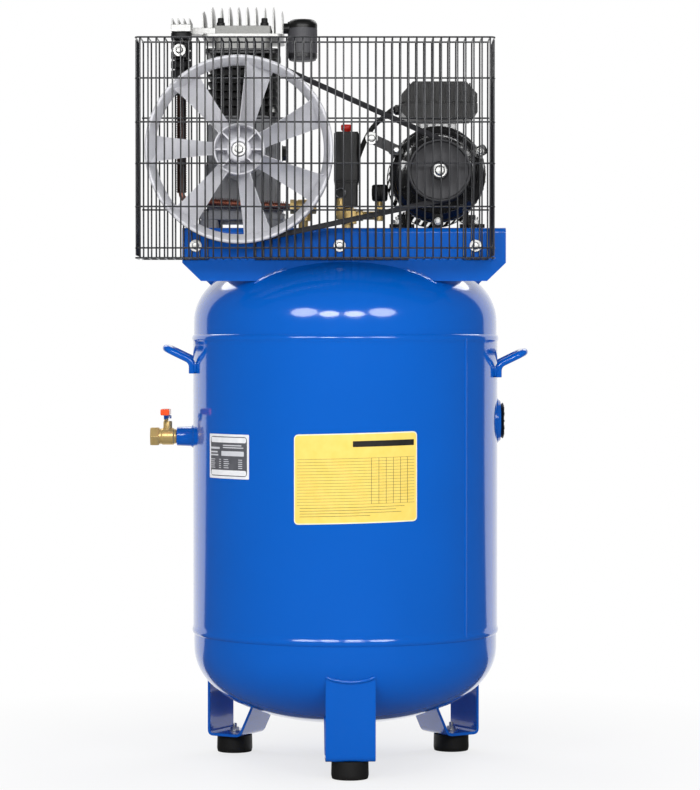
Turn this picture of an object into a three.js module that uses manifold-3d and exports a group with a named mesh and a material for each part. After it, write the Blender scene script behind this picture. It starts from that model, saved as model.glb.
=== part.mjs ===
// Vertical tank compressor: a belt-driven piston pump and a motor on an upright air receiver.
// Millimetres, +Z up, the front faces -Y. The tank's axis is the Z axis of the inner group.
import * as THREE from 'three';
import { mergeGeometries, mergeVertices } from 'three/addons/utils/BufferGeometryUtils.js';
import Module from 'manifold-3d';

const wasm = await Module();
wasm.setup();

// Shared
const fit = 0.3; // gap between pieces that seat on each other
const overrun = 4; // how far a cut passes the piece it cuts
const washerThickness = 1.8;

// Air receiver
const tankRadius = 260;
const tankWall = 3;
const tankFacets = 36;
const lowerSeamZ = 225;
const upperSeamZ = 722;
const headStep = 1.5; // the heads' skirts lie this much inside the shell's outside
const headSkirt = 25;
const headRise = 130;
const bottomHeadRise = 133;
const headFullness = 2.2; // the power of the heads' superellipse; an ellipse has 2
const headSteps = 6;
const spigotLength = 10; // the heads' spigots reach into the shell
const socketRadius = 16;
const socketLength = 28;
const socketBore = 10;
const outletZ = 554;
const portBossRadius = 34;
const portBossLength = 5;
const portBore = 24;
const portZ = 581;
const drainFlats = 26;
const drainLength = 18;

// Outlet valve
const valveNippleLength = 14;
const valveBodyRadius = 14.5;
const valveBodyLength = 31;
const valveHexFlats = 30;
const valveHexLength = 14;
const valveBore = 8;
const valveBoreDepth = 20;
const valveNeckRadius = 7;
const valveNeckHeight = 12;
const stemRadius = 3.5;
const stemNutFlats = 13;
const stemNutHeight = 7;
const leverLength = 78;
const leverWidth = 15;
const leverThickness = 4;
const leverRise = 14;
const leverBendLength = 12;
const sleeveLength = 52;
const sleeveThickness = 9;

// Inspection plug
const plugFlangeRadius = 30.5;
const plugFlangeThickness = 5;
const plugBodyLength = 12;

// Carrying handles
const handleRodRadius = 6;
const handleHalfWidth = 60;
const handleOutreach = 44; // how far the grip stands off the shell
const handleReach = tankRadius + handleOutreach; // rod's centre line at its outermost
const handleFootZ = 662;
const handleBendZ = 683;
const handleTopZ = 705;
const rightHandleDrop = 6.5; // the right handle is welded on this much lower
const handleCorner = 22;

// Legs and feet
const legCount = 3;
const legWidth = 82;
const legThickness = 5;
const legInset = 10; // from the shell's outside to the strap's outside
const legOuterRadius = tankRadius - legInset;
const legFootDepth = 61; // the strap's flat on the foot
const legInnerRadius = legOuterRadius - legFootDepth;
const legRiseAngle = THREE.MathUtils.degToRad(61);
const legTurn = THREE.MathUtils.degToRad(2); // the legs' ring stands a little round to the right
const footRadius = 31;
const footHeight = 30;
const footCentre = (legOuterRadius + legInnerRadius) / 2;

// Mounting deck
const deckTopZ = 904;
const deckPlate = 4;
const deckLeft = -269;
const deckRight = 265;
const deckHalfDepth = 176;
const apronBottomZ = 816;
const apronChamferWidth = 31;
const apronChamferHeight = 30;
const deckBend = 8;
const deckPortRadius = 17;

// Belt guard
const wire = 2.8;
const barPitch = 13.19;
const firstBarX = -332.5;
const barCount = 44;
const guardDepth = 86; // from the deck's front apron to the front net
const guardFrontY = -deckHalfDepth - guardDepth;
const guardTopZ = 1209;
const guardBottomZ = 852;
const guardRailZs = [1143, 1072, 1005, 935];
const rearUpperRailZ = 1084;
const rearLowerRailZ = 933;
const hubGapFirstBar = 9; // the bars from here to the next are left out behind the flywheel's hub
const hubGapLastBar = 13;
const motorGapFirstBar = 34; // and these round the motor's shaft
const motorGapLastBar = 39;
const sideBarCount = 7;
const sideReach = 4.5; // the front net's rails reach this much past its end bars, round the side nets
const returnStep = 2; // the returns hold every second wire
const guardBoltBays = [6, 24, 41];
const guardBoltZ = 874;
const guardBoltRadius = 3;
const guardBoltClearance = 0.5;
const guardWasherRadius = 12;
const guardBoltFlats = 10;
const guardBoltHead = 4.5;
const guardSlotLength = 36;
const guardBoltEnd = 5;
const roundShare = 0.99; // of its half width, a round hole's corner radius

// Flywheel, motor pulley and belt
const driveX = -173;
const driveZ = 1029.3;
const beltStandoff = 44; // from the deck's front apron
const beltY = -deckHalfDepth - beltStandoff;
const wheelRadius = 153.5;
const wheelDepth = 50;
const rimWidth = 16;
const bladeCount = 7;
const bladeChord = 58;
const bladeThickness = 4;
const hubChordShare = 0.8; // the chord at the hub, of that at the rim
const bladeHubAngle = THREE.MathUtils.degToRad(62);
const bladeRimAngle = THREE.MathUtils.degToRad(40);
const hubRadius = 42;
const hubWall = 4;
const hubWebThickness = 6;
const hubRibCount = 8;
const hubRibThickness = 3;
const bossRadius = 19;
const bossDepth = 44;
const crankRadius = 12.5;
const beltTop = 13;
const beltBase = 9;
const beltHeight = 8.5;
const beltProud = 0.6;
const beltStep = 22;
const grooveSide = 0.5; // the belt's clearance at the grooves' flanks and floor
const grooveFloor = 1;
const motorX = 154;
const motorZ = 995;
const pulleyRadius = 51;
const pulleyWidth = 24;
const pulleyHubRadius = 22;
const pulleyHubLength = 14;
const boltFlats = 17;
const boltHead = 7;
const boltWasherRadius = 11.5;
const hubWasherRadius = 15;

// Pump
const caseSetback = 71; // from the deck's front apron
const caseFrontY = -deckHalfDepth + caseSetback;
const caseLength = 200;
const caseHalfWidth = 58;
const caseTopZ = 1094;
const caseFlangeHalfWidth = 70;
const caseFlangeThickness = 12;
const caseShoulder = 16;
const padHeight = 15;
const padWidth = 30;
const padLength = 34;
const coverRadius = 46;
const coverThickness = 12;
const bearingRadius = 26;
const bearingLength = 14;
const blockHalfWidth = 46;
const blockHalfDepth = 78;
const blockCorner = 18;
const blockTopZ = 1199;
const finHalfWidth = 58.5;
const finHalfDepth = 92;
const finThickness = 3.5;
const finPitch = 12.8;
const finCount = 8;
const finCorner = 12;
const valvePlateHalfWidth = 61.5;
const valvePlateHalfDepth = 94;
const valvePlateThickness = 8.5;
const headHalfWidth = 46;
const headHalfDepth = 82;
const headLowerHeight = 20;
const headSlabHalfWidth = 68;
const headSlabThickness = 5;
const headUpperHeight = 20;
const headFinHeight = 50.9; // above the head's slab
const headFinCount = 10;
const headFinPitch = 14.75;
const headFinThickness = 2.5;
const headFinHalfDepth = 78;
const outerFinDrop = 7;

// Air filter at the head's right
const filterX = 101.5;
const filterY = -40;
const filterRadius = 25;
const filterRise = 27.9; // above the head's slab
const filterHeight = 70;
const filterLip = 8;
const filterCrown = 5;
const filterNeckRadius = 9;
const filterNeckDrop = 15;

// Discharge cooler at the pump's left
const coolerX = -273;
const coolerSetback = 56; // from the deck's front apron
const coolerY = -deckHalfDepth + coolerSetback;
const armHalfWidth = 16.5;
const armThickness = 12;
const armRise = 9.9; // above the head's slab
const armHalfDepth = 17;
const armFinCount = 4;
const armFinPitch = 9.5;
const armFinThickness = 2;
const armFinHeight = 10;
const stackRadius = 17.5;
const stackCoreRadius = 11;
const stackFinCount = 5;
const stackFinThickness = 12.6;
const stackFinGap = 3.2;
const reducerRadius = 9;
const reducerLength = 26;
const coolerFinRadius = 8.5;
const coolerTubeRadius = 5;
const coolerFinPitch = 11.6;
const coolerBottomZ = 964;
const coolerBend = 14;
const bendInnerShare = 0.3; // where the bend's middle lies
const coolerRunDrop = 9;

// Check valve, manifold and controls
const checkX = -70;
const checkY = coolerY;
const checkRadius = 12;
const checkHalfLength = 22;
const checkStemRadius = 8;
const manifoldX = 4;
const manifoldSetback = 96;
const manifoldY = -deckHalfDepth + manifoldSetback;
const nippleRadius = 10;
const manifoldBottomZ = 914;
const manifoldTopZ = 942.7;
const manifoldHalfWidth = 15;
const branchRadius = 7;
const branchZ = 928;
const safetyX = -8;
const safetyReach = 38; // from the manifold's axis to the safety valve's
const safetyY = manifoldY - safetyReach;
const safetyRadius = 6;
const safetyTopZ = 955;
const ringWire = 1;
const ringRadius = 8;
const ringStemRadius = 2.2;
const ringStemLength = 8;
const regulatorX = 58;
const regulatorStemRadius = 5;
const regulatorKnobRadius = 14;
const regulatorKnobBottomZ = 952;
const regulatorKnobHeight = 28;
const knobFootShare = 0.86;
const knobGripShare = 0.8;

// Pressure switch
const switchX = 2;
const switchHalfWidth = 21;
const switchSetback = 64;
const switchFrontY = -deckHalfDepth + switchSetback;
const switchDepth = 70;
const switchBaseZ = 943;
const switchBaseHeight = 42;
const switchBaseInset = 2;
const switchTopZ = 1067;
const switchCorner = 5;
const knobRadius = 9.5;
const knobClearance = 0.6;
const knobHeight = 14;
const knobTravel = 6;
const glandRadius = 9;
const glandLength = 12;
const switchGlandX = 12;
const switchGlandZ = 972;

// Motor
const motorRadius = 76;
const motorFinHeight = 5;
const motorFinCount = 18;
const motorFinShare = 0.42; // of a fin's pitch
const finTipShare = 0.8; // of a fin's foot
const motorSetback = 58; // from the deck's front apron
const motorFrameFrontY = -deckHalfDepth + motorSetback;
const motorFrameLength = 200;
const shieldRadius = 80;
const shieldLength = 32;
const shieldBossRadius = 30;
const shieldBossLength = 8;
const shieldRimShare = 0.6; // of the depth, its straight rim
const shieldFaceShare = 0.9; // of the radius, its flat face
const lugRadius = 79;
const lugSize = 9;
const lugAngles = [28, 152, 270].map((degrees) => THREE.MathUtils.degToRad(degrees));
const motorShaftRadius = 12;
const cowlRadius = 82;
const cowlLength = 62;
const cowlDome = 14;
const cowlShoulderShare = 0.93;
const cowlFaceShare = 0.8;
const motorFootHalfSpan = 80;
const motorFootThickness = 9;
const motorFootLength = 150;
const motorFootLegX = 48;
const motorFootLegWidth = 14;
const motorFootBoltX = 71;
const motorFootBoltY = 62;
const motorBoltFlats = 13;
const motorBoltHead = 6;
const boxLeft = 94;
const boxRight = 224;
const boxBottomZ = 1085;
const boxTopZ = 1156;
const boxSetback = 103; // from the motor frame's front to the box's middle
const boxCentreY = motorFrameFrontY + boxSetback;
const boxDepth = 104;
const boxCornerWidth = 20;
const boxCornerHeight = 22;
const boxNeckHalfWidth = 34;
const boxGlandZ = 1110;
const cableRadius = 4.25;
const cableSetback = 156;
const cableY = -deckHalfDepth + cableSetback;
// The cable's way down to the switch: across, behind its start at the terminal box, and up.
const cableWay = [[64, 0, 1097], [45, -3, 1078], [30, -6, 1050], [18, -7, 1016], [12.5, -6, 990]];
const cablePoints = cableWay.map(([across, behind, up]) => [across, cableY + behind, up]);

// Guard stays
const stayWidth = 17;
const stayThickness = 3;
const stayBay = 28;
const stayZ = 1051;
const stayWasherRadius = 10.5;
const pumpStayBay = 4;
const pumpStayZ = 1196;
const pumpStayTabHalfHeight = 13;
const pumpStayWidth = 22;

const colours = {
  blue: [0x0552c4, 0.25, 0.1], black: [0x2b2b2d, 0.5, 0.2], wireBlack: [0x252527, 0.45, 0.3],
  casting: [0x8a8a8f, 0.6, 0.6], aluminium: [0xc9c9cd, 0.4, 0.8], wheel: [0xd6d7dc, 0.3, 0.8],
  zinc: [0xd5d3c8, 0.3, 0.9], brass: [0xa8884a, 0.35, 0.9], copper: [0x8c4a32, 0.4, 0.9],
  rubber: [0x1b1b1c, 0.9, 0], plastic: [0x3a3a38, 0.6, 0], red: [0xe02a22, 0.4, 0],
  orange: [0xd8421c, 0.5, 0], steel: [0xb5b5b8, 0.3, 0.9],
};

// A closed geometry as a solid, and a solid as a geometry.
function solid(geometry) {
  const bare = geometry.clone();
  for (const name of Object.keys(bare.attributes)) {
    if (name !== 'position') bare.deleteAttribute(name);
  }
  const merged = mergeVertices(bare);
  const triangles = [];
  for (let i = 0; i < merged.index.count; i += 3) {
    const [a, b, c] = [0, 1, 2].map((k) => merged.index.getX(i + k));
    if (a !== b && b !== c && c !== a) triangles.push(a, b, c);
  }
  return new wasm.Manifold(new wasm.Mesh({
    numProp: 3,
    vertProperties: merged.attributes.position.array,
    triVerts: new Uint32Array(triangles),
  }));
}

function geometryOf(body) {
  const { vertProperties, triVerts } = body.getMesh();
  const geometry = new THREE.BufferGeometry();
  geometry.setAttribute('position', new THREE.BufferAttribute(new Float32Array(vertProperties), 3));
  geometry.setIndex(new THREE.BufferAttribute(new Uint32Array(triVerts), 1));
  geometry.computeVertexNormals();
  return geometry;
}

const join = (...pieces) => geometryOf(pieces.map(solid).reduce((all, next) => all.add(next)));
const cut = (piece, ...tools) => geometryOf(
  tools.map(solid).reduce((all, next) => all.subtract(next), solid(piece)));

// Primitives, each centred on the origin unless its name says otherwise.
function block(x0, x1, y0, y1, z0, z1) {
  const geometry = new THREE.BoxGeometry(x1 - x0, y1 - y0, z1 - z0);
  return geometry.translate((x0 + x1) / 2, (y0 + y1) / 2, (z0 + z1) / 2);
}

// A profile of [radius, height] points turned about Z, counter-clockwise as seen on paper.
function turned(points, facets) {
  const profile = points.map(([r, h]) => new THREE.Vector2(r, h));
  return new THREE.LatheGeometry(profile, facets).rotateX(Math.PI / 2);
}

const ring = (inner, outer, z0, z1, facets) => turned(
  [[inner, z0], [outer, z0], [outer, z1], [inner, z1], [inner, z0]], facets);
const rod = (radius, z0, z1, facets) => turned([[0, z0], [radius, z0], [radius, z1], [0, z1]], facets);
const hexagon = (flats, z0, z1) => rod(flats / Math.sqrt(3), z0, z1, 6);
// Turns a piece about Z so that its axis points to -Y, and then starts at the given plane.
const forward = (geometry, y = 0) => geometry.rotateX(Math.PI / 2).translate(0, y, 0);
const leftward = (geometry, x = 0) => geometry.rotateY(-Math.PI / 2).translate(x, 0, 0);
const rightward = (geometry, x = 0) => geometry.rotateY(Math.PI / 2).translate(x, 0, 0);

function outline(points) {
  return new THREE.Shape(points.map(([x, y]) => new THREE.Vector2(x, y)));
}

function roundedOutline(halfX, halfY, corner) {
  const shape = new THREE.Shape();
  shape.moveTo(halfX - corner, -halfY);
  shape.absarc(halfX - corner, corner - halfY, corner, -Math.PI / 2, 0);
  shape.absarc(halfX - corner, halfY - corner, corner, 0, Math.PI / 2);
  shape.absarc(corner - halfX, halfY - corner, corner, Math.PI / 2, Math.PI);
  shape.absarc(corner - halfX, corner - halfY, corner, Math.PI, Math.PI * 1.5);
  return shape;
}

function chamferedOutline(halfX, halfY, corner) {
  return outline([
    [halfX, corner - halfY], [halfX, halfY - corner], [halfX - corner, halfY], [corner - halfX, halfY],
    [-halfX, halfY - corner], [-halfX, corner - halfY], [corner - halfX, -halfY], [halfX - corner, -halfY],
  ]);
}

// A shape drawn in the XY, XZ or YZ plane and extruded along the third axis between two values.
function plate(shape, z0, z1, curveSegments = 1) {
  return new THREE.ExtrudeGeometry(shape, { depth: z1 - z0, bevelEnabled: false, curveSegments })
    .translate(0, 0, z0);
}
const upright = (shape, y0, y1, segments) => plate(shape, -y1, -y0, segments).rotateX(Math.PI / 2);
const sideways = (shape, x0, x1, segments) => plate(shape, x0, x1, segments)
  .rotateX(Math.PI / 2).rotateZ(Math.PI / 2);

function tube(points, radius, sides, steps) {
  const circle = new THREE.Shape();
  circle.absarc(0, 0, radius, 0, Math.PI * 2);
  const path = new THREE.CatmullRomCurve3(points.map((p) => new THREE.Vector3(...p)), false, 'centripetal');
  return new THREE.ExtrudeGeometry(circle, {
    steps, extrudePath: path, curveSegments: sides / 2, bevelEnabled: false,
  });
}

// A flat net in the XY plane: bars along Y crossed by rails along X. Bars may reach past the
// outer rails as teeth, and the rails past the end bars.
function net(barPlaces, railPlaces, toothBottom = railPlaces[0], toothTop = railPlaces.at(-1), railReach = 0) {
  const half = wire / 2;
  const low = Math.min(toothBottom, railPlaces[0] - half);
  const high = Math.max(toothTop, railPlaces.at(-1) + half);
  const [left, right] = [barPlaces[0] - half, barPlaces.at(-1) + half];
  const sheet = block(left - railReach, right + railReach, low, high, -half, half);
  const rows = railPlaces.slice(1).map((rail, j) => [railPlaces[j] + half, rail - half]);
  if (low < railPlaces[0] - half) rows.push([low - overrun, railPlaces[0] - half]);
  if (high > railPlaces.at(-1) + half) rows.push([railPlaces.at(-1) + half, high + overrun]);
  const columns = barPlaces.slice(1).map((bar, i) => [barPlaces[i] + half, bar - half]);
  if (railReach > 0) columns.push([left - railReach - overrun, left], [right, right + railReach + overrun]);
  const gaps = columns.flatMap(([x0, x1]) => rows.map(([y0, y1]) => block(x0, x1, y0, y1, -wire, wire)));
  return cut(sheet, mergeGeometries(gaps));
}

const model = new THREE.Group();
const tank = new THREE.Group();
const guard = new THREE.Group();
const pump = new THREE.Group();
const motor = new THREE.Group();
const controls = new THREE.Group();
model.add(tank, guard, pump, motor, controls);

function add(group, name, geometry, look) {
  const [color, roughness, metalness] = colours[look];
  const material = new THREE.MeshStandardMaterial({ color, roughness, metalness });
  const piece = new THREE.Mesh(geometry, material);
  piece.name = name;
  group.add(piece);
  return piece;
}

// The heads' outside, grown by a margin, as an arc of the quarter superellipse from the skirt to the pole.
function headArc(radius, rise, steps, base) {
  const points = [];
  for (let i = 0; i <= steps; i += 1) {
    const angle = (Math.PI / 2) * (i / steps);
    const [across, up] = [Math.cos(angle), Math.sin(angle)].map((v) => v ** (2 / headFullness));
    points.push([i === steps ? 0 : radius * across, base + rise * up]);
  }
  return points;
}
const headRadius = tankRadius - headStep;
const spigotRadius = tankRadius - tankWall - fit;
const headInner = spigotRadius - tankWall;
const head = (rise) => turned([
  ...headArc(headInner, rise - tankWall, headSteps / 2, headSkirt).reverse(),
  [headInner, -spigotLength], [spigotRadius, -spigotLength], [spigotRadius, fit], [headRadius, fit],
  ...headArc(headRadius, rise, headSteps, headSkirt),
], tankFacets);
const headMargin = fit * 1.5; // keeps the gap at the facets' corners too
const headCutter = (rise) => turned([
  [0, headSkirt - overrun], [headRadius + headMargin, headSkirt - overrun],
  ...headArc(headRadius + headMargin, rise + headMargin, headSteps, headSkirt),
], tankFacets);
const topCutter = headCutter(headRise).translate(0, 0, upperSeamZ);
const bottomCutter = headCutter(bottomHeadRise).rotateX(Math.PI).translate(0, 0, lowerSeamZ);

// Air receiver
const socketFaceX = -tankRadius - socketLength;
const portFaceX = tankRadius + portBossLength;
const shellInside = rod(tankRadius - tankWall, lowerSeamZ - overrun, upperSeamZ + overrun, tankFacets);
const shell = cut(
  join(
    rod(tankRadius, lowerSeamZ, upperSeamZ, tankFacets),
    leftward(rod(socketRadius, 0, socketLength + tankWall + overrun, 16), -tankRadius + tankWall + overrun)
      .translate(0, 0, outletZ),
    rightward(rod(portBossRadius, 0, portBossLength + tankWall + overrun, 16), tankRadius - tankWall - overrun)
      .translate(0, 0, portZ),
  ),
  shellInside,
  leftward(rod(socketBore, 0, socketLength + tankRadius, 16), overrun - tankRadius / 2)
    .translate(0, 0, outletZ),
  rightward(rod(portBore, 0, tankRadius, 16), tankRadius / 2).translate(0, 0, portZ),
);
add(tank, 'tank_shell', shell, 'blue');
add(tank, 'tank_top_head', head(headRise).translate(0, 0, upperSeamZ), 'blue');
add(tank, 'tank_bottom_head', head(bottomHeadRise).rotateX(Math.PI).translate(0, 0, lowerSeamZ), 'blue');
const tankBottomZ = lowerSeamZ - headSkirt - bottomHeadRise;
add(tank, 'drain_plug', hexagon(drainFlats, tankBottomZ - fit - drainLength, tankBottomZ - fit), 'brass');

// Inspection plug
const plugFaceX = portFaceX + fit;
const plug = turned([
  [0, -plugBodyLength], [portBore - fit, -plugBodyLength], [portBore - fit, 0], [plugFlangeRadius, 0],
  [plugFlangeRadius, plugFlangeThickness], [0, plugFlangeThickness],
], 16);
add(tank, 'inspection_plug', rightward(plug, plugFaceX).translate(0, 0, portZ), 'black');

// Outlet valve: its lever turns about a vertical stem.
const valveX = socketFaceX - fit;
const valveStemX = valveX - valveBodyLength / 2;
const valveEndX = valveX - valveBodyLength - valveHexLength;
const neckTop = valveBodyRadius + valveNeckHeight;
const valveBody = cut(
  join(
    leftward(turned([
      [0, -valveNippleLength], [socketBore - fit, -valveNippleLength], [socketBore - fit, 0],
      [valveBodyRadius, 0], [valveBodyRadius, valveBodyLength], [0, valveBodyLength],
    ], 16), valveX).translate(0, 0, outletZ),
    leftward(hexagon(valveHexFlats, valveBodyLength - overrun, valveBodyLength + valveHexLength), valveX)
      .translate(0, 0, outletZ),
    rod(valveNeckRadius, outletZ, outletZ + neckTop, 12).translate(valveStemX, 0, 0),
  ),
  leftward(rod(valveBore, 0, valveBoreDepth + overrun, 12), valveEndX + valveBoreDepth)
    .translate(0, 0, outletZ),
  rod(stemRadius + fit, outletZ + valveBodyRadius, outletZ + neckTop + overrun, 12)
    .translate(valveStemX, 0, 0),
);
add(tank, 'valve_body', valveBody, 'brass');
const leverZ = outletZ + neckTop + fit;
const leverSide = outline([
  [stemNutFlats, 0], [stemNutFlats, leverThickness], [-leverBendLength, leverThickness],
  [-leverBendLength * 2, leverRise + leverThickness], [-leverLength, leverRise + leverThickness],
  [-leverLength, leverRise], [-leverBendLength * 2 - leverThickness / 2, leverRise],
  [-leverBendLength - leverThickness / 2, 0],
].reverse());
const sleeve = plate(roundedOutline(leverWidth / 2 + leverThickness / 2, sleeveThickness / 2, leverThickness), 0,
  sleeveLength).rotateX(Math.PI / 2);
const lever = join(
  sideways(leverSide, -leverWidth / 2, leverWidth / 2),
  sleeve.translate(0, sleeveLength - leverLength - leverThickness, leverRise + leverThickness / 2),
  rod(stemRadius, -valveNeckHeight + overrun, leverThickness, 12),
  hexagon(stemNutFlats, leverThickness / 2, leverThickness + stemNutHeight),
);
add(tank, 'valve_lever', lever, 'orange').position.set(valveStemX, 0, leverZ);

// Carrying handles
for (const [name, side, drop] of [['handle_left', -1, 0], ['handle_right', 1, rightHandleDrop]]) {
  // The rod's ends lie along the flat of the shell's faceted wall that they meet.
  const facetTurn = (Math.PI * 2) / tankFacets;
  const seatAngle = (Math.floor(Math.asin(handleHalfWidth / tankRadius) / facetTurn) + 0.5) * facetTurn;
  const wallX = (tankRadius * Math.cos(facetTurn / 2) + handleRodRadius + fit
    - handleHalfWidth * Math.sin(seatAngle)) / Math.cos(seatAngle);
  const path = new THREE.CurvePath();
  const corners = [
    [wallX, -handleHalfWidth, handleFootZ], [wallX, -handleHalfWidth, handleBendZ],
    [handleReach, -handleHalfWidth, handleTopZ], [handleReach, handleHalfWidth, handleTopZ],
    [wallX, handleHalfWidth, handleBendZ], [wallX, handleHalfWidth, handleFootZ],
  ].map(([x, y, z]) => new THREE.Vector3(side * x, y, z - drop));
  let from = corners[0];
  for (let i = 1; i + 1 < corners.length; i += 1) {
    const before = corners[i - 1].distanceTo(corners[i]);
    const after = corners[i].distanceTo(corners[i + 1]);
    const round = Math.min(handleCorner, before / 2, after / 2);
    const enter = corners[i].clone().lerp(corners[i - 1], round / before);
    const leave = corners[i].clone().lerp(corners[i + 1], round / after);
    if (from.distanceTo(enter) > fit) path.add(new THREE.LineCurve3(from, enter));
    path.add(new THREE.QuadraticBezierCurve3(enter, corners[i], leave));
    from = leave;
  }
  path.add(new THREE.LineCurve3(from, corners.at(-1)));
  const circle = new THREE.Shape();
  circle.absarc(0, 0, handleRodRadius, 0, Math.PI * 2);
  add(tank, name, new THREE.ExtrudeGeometry(circle, {
    steps: 12, extrudePath: path, curveSegments: 4, bevelEnabled: false,
  }), 'blue');
}

// Legs, drawn at the front and turned about the tank: one bent strap each, cut to the bottom head.
const legRun = legInnerRadius - tankRadius / 2;
const legRise = legRun * Math.tan(legRiseAngle);
const strapShift = legThickness / Math.sin(legRiseAngle); // the inner plate's thickness along the foot
const strap = outline([
  [-legOuterRadius, footHeight], [-legInnerRadius, footHeight],
  [-legInnerRadius + legRun, footHeight + legRise],
  [-legInnerRadius + legRun - strapShift, footHeight + legRise],
  [-legInnerRadius - legThickness * (1 / Math.sin(legRiseAngle) - 1 / Math.tan(legRiseAngle)),
    footHeight + legThickness],
  [-legOuterRadius + legThickness, footHeight + legThickness],
  [-legOuterRadius + legThickness, lowerSeamZ - headSkirt],
  [-legOuterRadius, lowerSeamZ - headSkirt],
]);
const leg = cut(sideways(strap, -legWidth / 2, legWidth / 2).rotateZ(legTurn), bottomCutter);
const foot = rod(footRadius, 0, footHeight - fit, 14).translate(0, -footCentre, 0).rotateZ(legTurn);
const legNames = ['front', 'right', 'left'];
for (let i = 0; i < legCount; i += 1) {
  const turn = new THREE.Group();
  turn.rotation.z = (Math.PI * 2 * i) / legCount;
  tank.add(turn);
  add(turn, `leg_${legNames[i]}`, leg, 'blue');
  add(turn, `foot_${legNames[i]}`, foot, 'rubber');
}

// Mounting deck: a folded plate whose aprons stand on the top head.
const barX = (bar) => firstBarX + bar * barPitch;
const bayX = (bay) => barX(bay) + barPitch / 2;
const deckSide = new THREE.Shape();
deckSide.moveTo(-deckHalfDepth, apronBottomZ);
deckSide.lineTo(-deckHalfDepth + deckPlate, apronBottomZ);
deckSide.lineTo(-deckHalfDepth + deckPlate, deckTopZ - deckBend);
deckSide.absarc(-deckHalfDepth + deckBend, deckTopZ - deckBend, deckBend - deckPlate, Math.PI, Math.PI / 2, true);
deckSide.lineTo(deckHalfDepth - deckBend, deckTopZ - deckPlate);
deckSide.absarc(deckHalfDepth - deckBend, deckTopZ - deckBend, deckBend - deckPlate, Math.PI / 2, 0, true);
deckSide.lineTo(deckHalfDepth - deckPlate, apronBottomZ);
deckSide.lineTo(deckHalfDepth, apronBottomZ);
deckSide.lineTo(deckHalfDepth, deckTopZ - deckBend);
deckSide.absarc(deckHalfDepth - deckBend, deckTopZ - deckBend, deckBend, 0, Math.PI / 2);
deckSide.lineTo(-deckHalfDepth + deckBend, deckTopZ);
deckSide.absarc(-deckHalfDepth + deckBend, deckTopZ - deckBend, deckBend, Math.PI / 2, Math.PI);
const chamfers = [[deckLeft, 1], [deckRight, -1]].map(([x, inward]) => upright(outline([
  [x - inward * overrun, apronBottomZ - overrun],
  [x + inward * (apronChamferWidth + overrun), apronBottomZ - overrun],
  [x + inward * apronChamferWidth, apronBottomZ],
  [x, apronBottomZ + apronChamferHeight],
  [x - inward * overrun, apronBottomZ + apronChamferHeight + overrun],
]), -deckHalfDepth - overrun, deckHalfDepth + overrun));
const boltHoleRadius = guardBoltRadius + guardBoltClearance;
const boltHoles = guardBoltBays.map((bay, i) => {
  const half = i === guardBoltBays.length - 1 ? guardSlotLength / 2 : boltHoleRadius;
  const hole = half > boltHoleRadius
    ? roundedOutline(half, boltHoleRadius, boltHoleRadius * roundShare)
    : roundedOutline(boltHoleRadius, boltHoleRadius, boltHoleRadius * roundShare);
  return upright(hole, -deckHalfDepth - overrun, -deckHalfDepth + deckPlate + overrun)
    .translate(bayX(bay), 0, guardBoltZ);
});
const deckPort = (x, y) => rod(deckPortRadius, deckTopZ - deckPlate - overrun, deckTopZ + overrun, 16)
  .translate(x, y, 0);
const deck = cut(
  sideways(deckSide, deckLeft, deckRight),
  topCutter, ...chamfers, ...boltHoles, deckPort(checkX, checkY), deckPort(manifoldX, manifoldY),
);
add(tank, 'mounting_deck', deck, 'blue');

// Belt guard: flat nets of welded wire round the belt drive.
const guardRearY = -deckHalfDepth - fit - wire / 2;
const bars = (from, to) => Array.from({ length: to - from }, (_, i) => barX(from + i));
const allBars = bars(0, barCount);
const standing = (shape, y) => shape.rotateX(Math.PI / 2).translate(0, y, 0);
const sideStandoff = wire + fit + sideReach; // from an end bar to the side net
add(guard, 'guard_front_grille', standing(
  net(allBars, [guardBottomZ, ...[...guardRailZs].reverse(), guardTopZ], guardBottomZ, guardTopZ, sideStandoff),
  guardFrontY), 'wireBlack');
add(guard, 'guard_rear_top', standing(net(allBars, [rearUpperRailZ, guardTopZ]), guardRearY), 'wireBlack');
const rearTeeth = rearUpperRailZ - wire / 2 - fit;
for (const [name, from, to] of [
  ['guard_rear_left', 0, hubGapFirstBar],
  ['guard_rear_middle', hubGapLastBar + 1, motorGapFirstBar],
  ['guard_rear_right', motorGapLastBar + 1, barCount],
]) {
  const shape = net(bars(from, to), [guardBottomZ, rearLowerRailZ], guardBottomZ, rearTeeth);
  add(guard, name, standing(shape, guardRearY), 'wireBlack');
}
// The returns bridge the two planes. Their one rail lies beside the rear net's.
const returnRailY = guardRearY - wire - fit;
const returnTip = guardFrontY + wire / 2 + fit;
const returnBars = allBars.filter((_, i) => i % returnStep === 0);
for (const [name, z] of [['guard_top_return', guardTopZ], ['guard_bottom_return', guardBottomZ]]) {
  add(guard, name, net(returnBars, [returnRailY], returnTip).translate(0, 0, z), 'wireBlack');
}
const sideStart = returnTip + wire / 2;
const sidePitch = (returnRailY + wire / 2 - sideStart) / (sideBarCount - 1);
const sideBars = Array.from({ length: sideBarCount }, (_, i) => sideStart + i * sidePitch);
const sideNet = net(sideBars, [guardBottomZ + wire * 2, guardTopZ - wire * 2])
  .rotateX(Math.PI / 2).rotateZ(Math.PI / 2);
for (const [name, x] of [
  ['guard_left_return', allBars[0] - sideStandoff], ['guard_right_return', allBars.at(-1) + sideStandoff],
]) add(guard, name, sideNet.clone().translate(x, 0, 0), 'wireBlack');

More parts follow.
